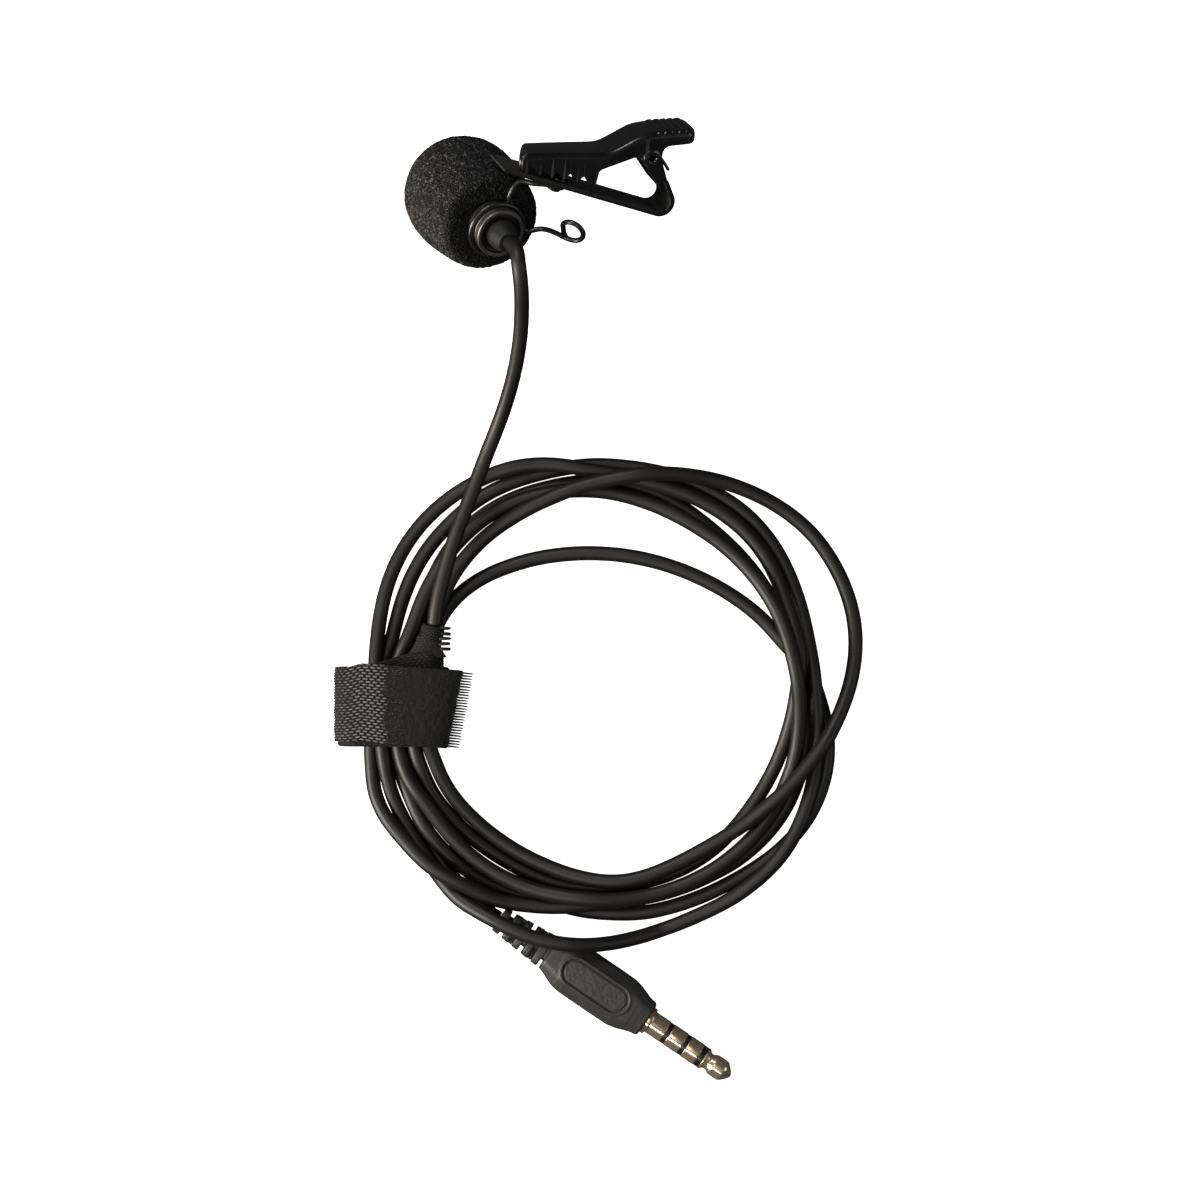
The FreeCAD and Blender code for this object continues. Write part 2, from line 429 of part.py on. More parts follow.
# Plain rings: name, outer radius, inner radius, front z, rear z.
HEAD_RINGS = [
    ("diaphragm_ring", CAPSULE_R, 2.1, 0.58, 0.88),
    ("diaphragm_spacer", CAPSULE_R, 2.25, 0.93, 1.03),
    ("capsule_cradle", 3.19, 3.02, 0.6, 7.0),
]
for name, r_out, r_in, z0, z1 in HEAD_RINGS:
    export_head(name, revolve([(r_in, z0), (r_out, z0), (r_out, z1), (r_in, z1)]))

# Plain discs: name, radius, front z, rear z.
HEAD_DISCS = [
    ("grille_mesh", 3.16, -0.24, -0.16),
    ("dust_felt", 3.14, -0.14, 0.26),
    ("diaphragm_film", CAPSULE_R, 0.885, 0.925),
    ("capsule_board", CAPSULE_R, 4.32, 4.92),
]
for name, radius, z0, z1 in HEAD_DISCS:
    export_head(name, disc(radius, z0, z1))


def hole_circle(radius, count, first=0):
    """Evenly spaced (x, y) on a circle, the first at an angle in degrees."""
    angles = [math.radians(first + 360 / count * i) for i in range(count)]
    return [(radius * math.cos(a), radius * math.sin(a)) for a in angles]


def perforated(plate, centres, radius, z):
    """Drills a plate with 1 mm long cutters that start at z."""
    cutters = [Part.makeCylinder(radius, 1.0, Vector(x, y, z)) for x, y in centres]
    return plate.cut(Part.makeCompound(cutters))


grille_holes = [(0.0, 0.0)] + hole_circle(1.05, 6) + hole_circle(2.05, 12, first=15)
export_head("front_grille", perforated(disc(3.18, -0.46, -0.26), grille_holes, 0.33, -0.9))
export_head("backplate", perforated(disc(2.45, 1.04, 1.44), hole_circle(1.3, 4), 0.22, 0.8))
export_head("transistor_chip", Part.makeBox(1.6, 1.3, 0.75, Vector(-0.8, -0.65, 3.55)))

# ---- microphone lead and coiled cable ----
lead_points = trimmed(LEAD)
for layer, r_out, r_in in LEAD_LAYERS:
    export("mic_lead_" + layer, sweep(lead_points, r_out, r_in))
# the coiled cable is one solid round, layers and jacket together
export("coiled_cable", sweep(trimmed(COIL), CABLE_R))


# ---- wire holder ----
def finger_loop():
    centre = Vector(-4.02, 53.8, 16.05)
    radius = 1.69
    ex, ey = unit(Vector(0.9073, -0.4206, 0.0)), unit(Vector(0.216, 0.467, 0.857))
    axis = unit(ex.cross(ey))
    points = []
    for i in range(11):
        a = math.radians(205.0 - 29.5 * i)
        points.append(centre + ex * (radius * math.cos(a)) + ey * (radius * math.sin(a))
                      + axis * (0.8 * i / 10.0 - 0.5))
    return points


def barrel_ring():
    """A little over one turn round the barrel, creeping forward."""
    rear, front, steps = 12.05, 10.95, 34
    points = []
    for i in range(steps + 1):
        a = math.radians(-30.0 + 400.0 * i / steps)
        points.append(HEAD_CENTRE + HEAD_AXIS * (rear + (front - rear) * i / steps)
                      + HEAD_SIDE * (RING_R * math.cos(a)) + HEAD_UP * (RING_R * math.sin(a)))
    return points


def rivet_eye():
    """Three quarters of a turn round the rivet, under the lower jaw."""
    height = -(WIRE_R + 0.06)
    angles = [math.radians(a) for a in range(90, -181, -30)]
    return [lower_point(RIVET_RUN + EYE_R * math.cos(a), height, CLIP_MID + EYE_R * math.sin(a))
            for a in angles]


def holder_line():
    tail = [(-6.1, 53.5, 15.0), (-7.2, 53.95, 15.35), (-8.4, 54.2, 15.6), (-9.55, 54.1, 15.5),
            (-10.5, 53.9, 15.5), (-11.1, 54.15, 15.85)]
    stem = [(-13.2, 58.5, 18.2), (-12.8, 59.6, 18.75), (-12.15, 60.45, 19.05),
            (-11.3, 60.8, 19.05)]
    approach = [lower_point(6.0, -1.0, -2.45), lower_point(7.7, -0.55, CLIP_MID + EYE_R)]
    return (finger_loop() + vectors(tail) + barrel_ring() + vectors(stem) + approach
            + rivet_eye())


export("wire_holder", sweep(holder_line(), WIRE_R))

# ---- clip ----
# Outlines are (along, out) in the clip frame.
UPPER_TOP = [(-0.60, -0.75), (-0.45, -0.34), (-0.1, -0.06), (0.45, 0.05), (3.0, 0.06),
             (8.0, 0.03), (11.6, 0.0), (13.0, 0.26), (14.8, 1.14), (16.4, 2.02), (17.8, 2.62),
             (19.5, 2.93), (20.5, 2.99), (25.6, 3.15)]
UPPER_END = [(25.95, 3.04), (26.05, 2.82), (25.9, 2.65)]
TOOTH_TIPS = [0.5, 2.3, 4.15, 6.0, 7.95, 10.15]
TOOTH_DEPTH = 1.12
FLANGE_TO_PIVOT = [(11.0, -4.86), (11.32, -2.75), (11.75, -2.42), (14.0, -1.62), (16.7, -0.72),
                   (17.75, -0.72)]
FLANGE_BACK = [(20.95, 0.05), (21.2, 0.55), (21.7, 0.88), (22.4, 0.98), (25.2, 1.2),
               (25.75, 1.6), (25.9, 2.3), (25.6, 3.0), (20.5, 2.9), (19.5, 2.84), (17.8, 2.52),
               (16.4, 1.92), (14.8, 1.04), (13.0, 0.18), (11.6, -0.05), (8.0, -0.02),
               (0.45, 0.0), (-0.1, -0.11), (-0.45, -0.38)]


def tooth_tip(along):
    return (along, -2.33 - 0.215 * (along + 1.5))


def tooth_line():
    points = [(-0.5, -2.25), tooth_tip(TOOTH_TIPS[0])]
    for before, after in zip(TOOTH_TIPS[:-1], TOOTH_TIPS[1:]):
        x, y = tooth_tip((before + after) / 2)
        points += [(x, y + TOOTH_DEPTH), tooth_tip(after)]
    return points


def offset_below(top, thickness):
    """The sheet's lower line, square to the chord between each point's neighbours."""
    low = []
    for i, (x, y) in enumerate(top):
        x0, y0 = top[max(0, i - 1)]
        x1, y1 = top[min(len(top) - 1, i + 1)]
        chord = math.hypot(x1 - x0, y1 - y0)
        low.append((x + (y1 - y0) / chord * thickness, y - (x1 - x0) / chord * thickness))
    return low


def pivot_bore(radius):
    return Part.makeCylinder(radius, 20, Vector(*PIVOT, -12))


def upper_jaw():
    """Sheet with a turned-down nose, two toothed flanges with pivot ears, and a ribbed pad."""
    low = offset_below(UPPER_TOP, UPPER_T)
    plate = polygon(UPPER_TOP + UPPER_END + low[::-1], CLIP_FAR, CLIP_NEAR)
    nose = polygon([UPPER_TOP[0], (-0.65, -1.6), (-0.5, -2.2), (-0.02, -2.2), (-0.1, -1.6),
                    low[0], low[1], UPPER_TOP[1]], CLIP_FAR, CLIP_NEAR)
    outline = ([UPPER_TOP[0], (-0.65, -1.6)] + tooth_line() + FLANGE_TO_PIVOT
               + arc(PIVOT, 1.55, 178, 360, 14) + FLANGE_BACK)
    flanges = [polygon(outline, CLIP_NEAR - UPPER_T, CLIP_NEAR),
               polygon(outline, CLIP_FAR, CLIP_FAR + UPPER_T)]
    ribs = []
    for i in range(5):
        run = 1.08 * i
        base = Vector(20.5 + run, 3.0 + run * 0.0314, CLIP_FAR + 0.3)
        ribs.append(Part.makeCylinder(0.3, CLIP_WIDTH - 0.6, base))
    return fused([plate, nose] + flanges + ribs).cut(pivot_bore(PIVOT_R + 0.05))


export_clip("clip_upper_jaw", upper_jaw())


def lower_jaw():
    """Strip bent up and back at its rear to a riser with two pivot ears."""
    bend_r, rise = 2.2, 2.6
    centre = lower_xy(25.3, bend_r)
    start = -90 - math.degrees(LOWER_ANGLE)
    end = start + 133
    outer = arc(centre, bend_r, start, end, 14)
    inner = arc(centre, bend_r - LOWER_T, start, end, 14)
    dx = -math.sin(math.radians(end)) * rise
    dy = math.cos(math.radians(end)) * rise
    outer_top = (outer[-1][0] + dx, outer[-1][1] + dy)
    inner_top = (inner[-1][0] + dx, inner[-1][1] + dy)
    tip = [lower_xy(0.25, LOWER_T), lower_xy(0.0, LOWER_T * 0.7), lower_xy(0.0, LOWER_T * 0.3)]
    strip = polygon([lower_xy(0.25, 0.0)] + outer + [outer_top, inner_top] + inner[::-1] + tip,
                    CLIP_FAR, CLIP_NEAR)

    # narrow the rear so that it fits between the upper jaw's flanges
    half = 2.62
    ear_t = 0.6
    zone = [(15.0, -4.1), (26.5, -4.1), (26.5, 3), (15.0, 3)]
    margins = polygon(zone, CLIP_MID + half, CLIP_MID + 9)
    strip = strip.cut(margins.fuse(polygon(zone, CLIP_MID - 9, CLIP_MID - half)))

    ear = [(outer[-2][0] - 0.05, outer[-2][1]), outer_top]
    ear += arc(PIVOT, 1.5, 20, 200, 12)
    ear += [(inner_top[0] - 0.7, inner_top[1] - 0.6), (inner[-3][0] + 0.1, inner[-3][1] + 0.1)]
    ears = [polygon(ear, CLIP_MID + half - ear_t, CLIP_MID + half),
            polygon(ear, CLIP_MID - half, CLIP_MID - half + ear_t)]
    jaw = fused([strip] + ears).cut(pivot_bore(PIVOT_R))
    # hole for the holder's rivet, square to the strip
    base = Vector(*lower_xy(RIVET_RUN, -3), CLIP_MID)
    return jaw.cut(Part.makeCylinder(0.60, 6, base, Vector(*LOWER_NORMAL, 0)))


export_clip("clip_lower_jaw", lower_jaw())


def holder_rivet():
    """Domed head on the lower jaw's inner side, formed tail under the wire eye."""
    shape = revolve([
        (0.0, -1.42), (0.55, -1.40), (0.9, -1.25), (1.02, -0.98), (0.58, -0.98),
        (0.58, LOWER_T), (1.75, LOWER_T + 0.01), (1.68, LOWER_T + 0.28),
        (1.4, LOWER_T + 0.52), (0.9, LOWER_T + 0.70), (0.0, LOWER_T + 0.76)])
    normal = CLIP_ALONG * LOWER_NORMAL[0] + CLIP_OUT * LOWER_NORMAL[1]
    along = CLIP_ALONG * LOWER_DIR[0] + CLIP_OUT * LOWER_DIR[1]
    origin = lower_point(RIVET_RUN, 0, CLIP_MID)
    return placed(shape, origin, along, normal.cross(along), normal)


export("holder_rivet", holder_rivet())


def pivot_rivet():
    """Tubular rivet with rolled ends."""
    shape = revolve([
        (PIVOT_HOLE_R, -3.55), (0.95, -3.55), (1.35, -3.45), (1.35, -3.24), (PIVOT_R, -3.24),
        (PIVOT_R, 3.24), (1.35, 3.24), (1.35, 3.45), (0.95, 3.55), (PIVOT_HOLE_R, 3.55)])
    shape.translate(Vector(*PIVOT, CLIP_MID))
    return shape


export_clip("pivot_rivet", pivot_rivet())


def torsion_spring():
    """Three turns round the pivot, with a straight leg under the upper jaw's pad."""
    coil_r, wire_r, half = 1.32, 0.25, 1.45
    first, last, steps = 118.0, 1204.0, 45
    x, y = PIVOT
    z0 = CLIP_MID - half
    points = [Vector(x + reach, y + 1.27 + (reach + 0.36) * 0.2875, z0)
              for reach in (5.6, 4.2, 2.8, 1.4)]
    for i, (px, py) in enumerate(arc(PIVOT, coil_r, first, last, steps)):
        points.append(Vector(px, py, z0 + 2 * half * i / steps))
    return sweep(points, wire_r)


export_clip("torsion_spring", torsion_spring())


# ---- strap ----
def rounded_bar(section, y0, y1):
    """Bar along Y; section is x0, x1, z0, z1 and the corner radius."""
    x0, x1, z0, z1, radius = section
    box = Part.makeBox(x1 - x0, y1 - y0, z1 - z0, Vector(x0, y0, z0))
    edges = [e for e in box.Edges if abs(abs(e.tangentAt(e.FirstParameter).y) - 1) < 1e-6]
    return box.makeFillet(radius, edges)


CAVITY = (-37.9, -23.75, 1.02, 9.0, 2.2)
INNER_TURN = (-38.3, -23.3, 0.56, 9.6, 2.6)
WRAP_INSIDE = (-38.36, -23.24, 0.5, 9.66, 2.66)
WRAP = (-39.2, -22.4, 0.0, 10.5, 3.2)
CUT_Y0, CUT_Y1 = STRAP_Y0 - 5, STRAP_Y1 + 5
export("strap_inner_turn",
       rounded_bar(INNER_TURN, -19.5, -7.7).cut(rounded_bar(CAVITY, CUT_Y0, CUT_Y1)))
export("strap_wrap",
       rounded_bar(WRAP, STRAP_Y0, STRAP_Y1).cut(rounded_bar(WRAP_INSIDE, CUT_Y0, CUT_Y1)))

# Upper and lower faces of the strap's tail: (x, z).
TAIL_TOP = [(-37.0, 11.30), (-33.0, 11.62), (-28.0, 11.66), (-24.0, 11.45), (-21.5, 10.9),
            (-19.4, 9.9), (-17.9, 8.8)]
TAIL_LOW = [(-37.0, 10.60), (-33.0, 10.60), (-28.0, 10.62), (-24.0, 10.42), (-21.8, 9.95),
            (-19.9, 9.05), (-18.5, 8.2)]


def strap_tail():
    top = [Vector(x, STRAP_Y0, z) for x, z in TAIL_TOP]
    low = [Vector(x, STRAP_Y0, z) for x, z in TAIL_LOW[::-1]]
    wire = Part.Wire([spine(top).toShape(), Part.makeLine(top[-1], low[0]),
                      spine(low).toShape(), Part.makeLine(low[-1], top[0])])
    return Part.Face(wire).extrude(Vector(0, STRAP_Y1 - STRAP_Y0, 0))


export("strap_tail", strap_tail())
NECK = [(-24.85, -4.9, 7.82), (-25.2, -6.0, 7.66), (-25.5, -7.02, 7.5)]
export("strap_neck_loop", sweep(vectors(NECK), 1.75, 1.2))

# ---- plug ----
# Handle sections: x, half width, half height.
HANDLE_STATIONS = [
    (-HANDLE_LEN, 2.9, 2.45), (-HANDLE_LEN + 0.9, 3.3, 2.6), (-HANDLE_LEN + 3.0, 3.92, 2.9),
    (-HANDLE_LEN + 5.0, HANDLE_W / 2, HANDLE_H / 2), (-4.0, HANDLE_W / 2, HANDLE_H / 2),
    (-2.0, 3.55, 2.85), (-0.6, 2.95, 2.6), (0.0, 2.8, 2.45),
]


def handle_body():
    """Tapered, bevelled moulding with an obround recess on its top."""
    wires = []
    for x, w, h in HANDLE_STATIONS:
        bevel = min(1.35, w * 0.42)
        corners = [(-w, -h + bevel), (-w + bevel, -h), (w - bevel, -h), (w, -h + bevel),
                   (w, h - bevel), (w - bevel, h), (-w + bevel, h), (-w, h - bevel)]
        points = [Vector(x, y, z) for y, z in corners]
        wires.append(Part.makePolygon(points + [points[0]]))
    body = Part.makeLoft(wires, True, True)
    centre, length, width = -8.9, 12.3, 4.2
    r = width / 2
    x0, x1 = centre - length / 2 + r, centre + length / 2 - r
    floor = HANDLE_H / 2 - 0.30
    recess = Part.makeBox(x1 - x0, width, 1.0, Vector(x0, -r, floor))
    for x in (x0, x1):
        recess = recess.fuse(Part.makeCylinder(r, 1.0, Vector(x, 0, floor)))
    return body.cut(recess)


def boot():
    """Rounded ribs stepping down towards the cable."""
    ribs = 5
    pitch = (BOOT_LEN + 0.1) / ribs
    x = BOOT_X + 0.15
    profile = [(x, LEAD_BORE_R)]
    for i in range(ribs):
        r = 2.0 + 0.62 * i / (ribs - 1)
        profile += [(x, r - 0.12), (x + 0.12, r), (x + pitch * 0.58, r + 0.05),
                    (x + pitch * 0.66, r - 0.42), (x + pitch * 0.94, r - 0.38)]
        x += pitch
    return revolve_x(profile + [(x + 0.1, 2.4), (x + 0.6, 2.4), (x + 0.6, LEAD_BORE_R)])


def overmould():
    """Handle and boot in one, hollowed for the lead and the premould."""
    shape = handle_body().fuse(boot()).removeSplitter()
    bore = Part.makeCylinder(LEAD_BORE_R, 30, Vector(BOOT_X - 1, 0, 0), Vector(1, 0, 0))
    hollow = revolve_x([(-11.0, 0.0), (-11.0, 2.05), (0.5, 2.05), (0.5, 0.0)])
    return shape.cut(bore).cut(hollow)


export_plug("plug_overmould", overmould())

# Other turned parts of the plug: closed (x, r) profiles.
PLUG_PROFILES = {
    "plug_premould": [
        (-10.9, 1.30), (-10.9, 2.02), (-0.02, 2.02), (-0.02, 1.2), (-6.0, 1.2), (-6.0, 1.30)],
    # collar and sleeve contact
    "plug_sleeve": [
        (0.0, 1.14), (0.0, 2.15), (0.6, 2.15), (0.6, PLUG_R), (3.3, PLUG_R), (3.3, 1.14)],
    # tip contact on its centre pin
    "plug_tip": [
        (-8.8, 0.0), (-8.8, 0.30), (10.12, 0.30), (10.12, PLUG_R), (10.42, PLUG_R),
        (10.6, 1.60), (10.85, 1.34), (11.2, 1.30), (11.5, 1.42), (11.75, 1.60), (12.0, 1.66),
        (13.7, 1.64), (13.95, 1.5), (14.65, 0.80), (14.95, 0.40), (15.06, 0.16), (15.08, 0.0)],
}
for name, profile in PLUG_PROFILES.items():
    export_plug(name, revolve_x(profile))

# Nested rings and insulators, each a thin tube with a wide band at its front:
# name, tube's rear x, bore radius, tube radius, band x0, band x1, band radius.
INSULATOR_R = PLUG_R - 0.02
PLUG_BANDS = [
    ("plug_insulator_1", -5.0, 0.86, 1.12, 3.32, 3.9, INSULATOR_R),
    ("plug_ring_2", -6.0, 0.70, 0.84, 3.92, 6.4, PLUG_R),
    ("plug_insulator_2", -6.6, 0.58, 0.68, 6.42, 7.0, INSULATOR_R),
    ("plug_ring_1", -7.4, 0.44, 0.56, 7.02, 9.3, PLUG_R),
    ("plug_insulator_3", -8.0, 0.32, 0.42, 9.32, 10.1, INSULATOR_R),
]
for name, rear, bore_r, tube_r, x0, x1, band_r in PLUG_BANDS:
    export_plug(name, revolve_x([(rear, bore_r), (rear, tube_r), (x0, tube_r), (x0, band_r),
                                 (x1, band_r), (x1, bore_r)]))

# the lead's last length inside boot and handle
x0 = BOOT_X + 0.75
x1 = x0 + 13.25
for layer, r_out, r_in in LEAD_LAYERS:
    export_plug("plug_lead_" + layer,
                revolve_x([(x0, r_in), (x0, r_out), (x1, r_out), (x1, r_in)]))
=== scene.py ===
"""Clip-on microphone laid out on a pale floor, seen from straight above.

The layout is in millimetres with +Z up and the floor at z = 0. The coiled lead lies round the
origin. At +Y are the foam-covered head, its wire holder and the spring clip. The strap wraps
the coil at -X, and the plug lies at -Y, pointing to +X and -Y.
"""
import math

import bmesh
import bpy
import numpy as np
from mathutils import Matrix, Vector


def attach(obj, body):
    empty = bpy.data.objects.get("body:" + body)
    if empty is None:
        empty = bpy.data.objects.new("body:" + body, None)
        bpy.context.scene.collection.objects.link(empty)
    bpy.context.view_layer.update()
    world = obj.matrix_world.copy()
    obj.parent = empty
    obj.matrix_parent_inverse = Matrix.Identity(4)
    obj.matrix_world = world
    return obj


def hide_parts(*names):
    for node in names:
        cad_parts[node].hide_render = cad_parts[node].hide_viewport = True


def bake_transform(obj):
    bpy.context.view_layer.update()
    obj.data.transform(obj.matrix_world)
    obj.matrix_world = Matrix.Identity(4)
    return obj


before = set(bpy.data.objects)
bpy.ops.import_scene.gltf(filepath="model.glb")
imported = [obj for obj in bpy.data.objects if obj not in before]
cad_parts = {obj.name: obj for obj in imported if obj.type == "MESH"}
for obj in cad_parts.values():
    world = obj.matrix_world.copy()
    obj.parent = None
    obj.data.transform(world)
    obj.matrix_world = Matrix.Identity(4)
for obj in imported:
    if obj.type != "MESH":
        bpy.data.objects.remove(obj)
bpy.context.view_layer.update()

# ------------------------------------------------------------------------------ measured lines
CABLE_RADIUS = 1.10
CABLE_REST_Z = 1.12  # height of the centre line where the cable lies on the floor


def points(text):
    """Reads x,y,z points parted by spaces; a point without z rests on the floor."""
    rows = [tuple(float(value) for value in item.split(",")) for item in text.split()]
    return [row if len(row) == 3 else (*row, CABLE_REST_Z) for row in rows]


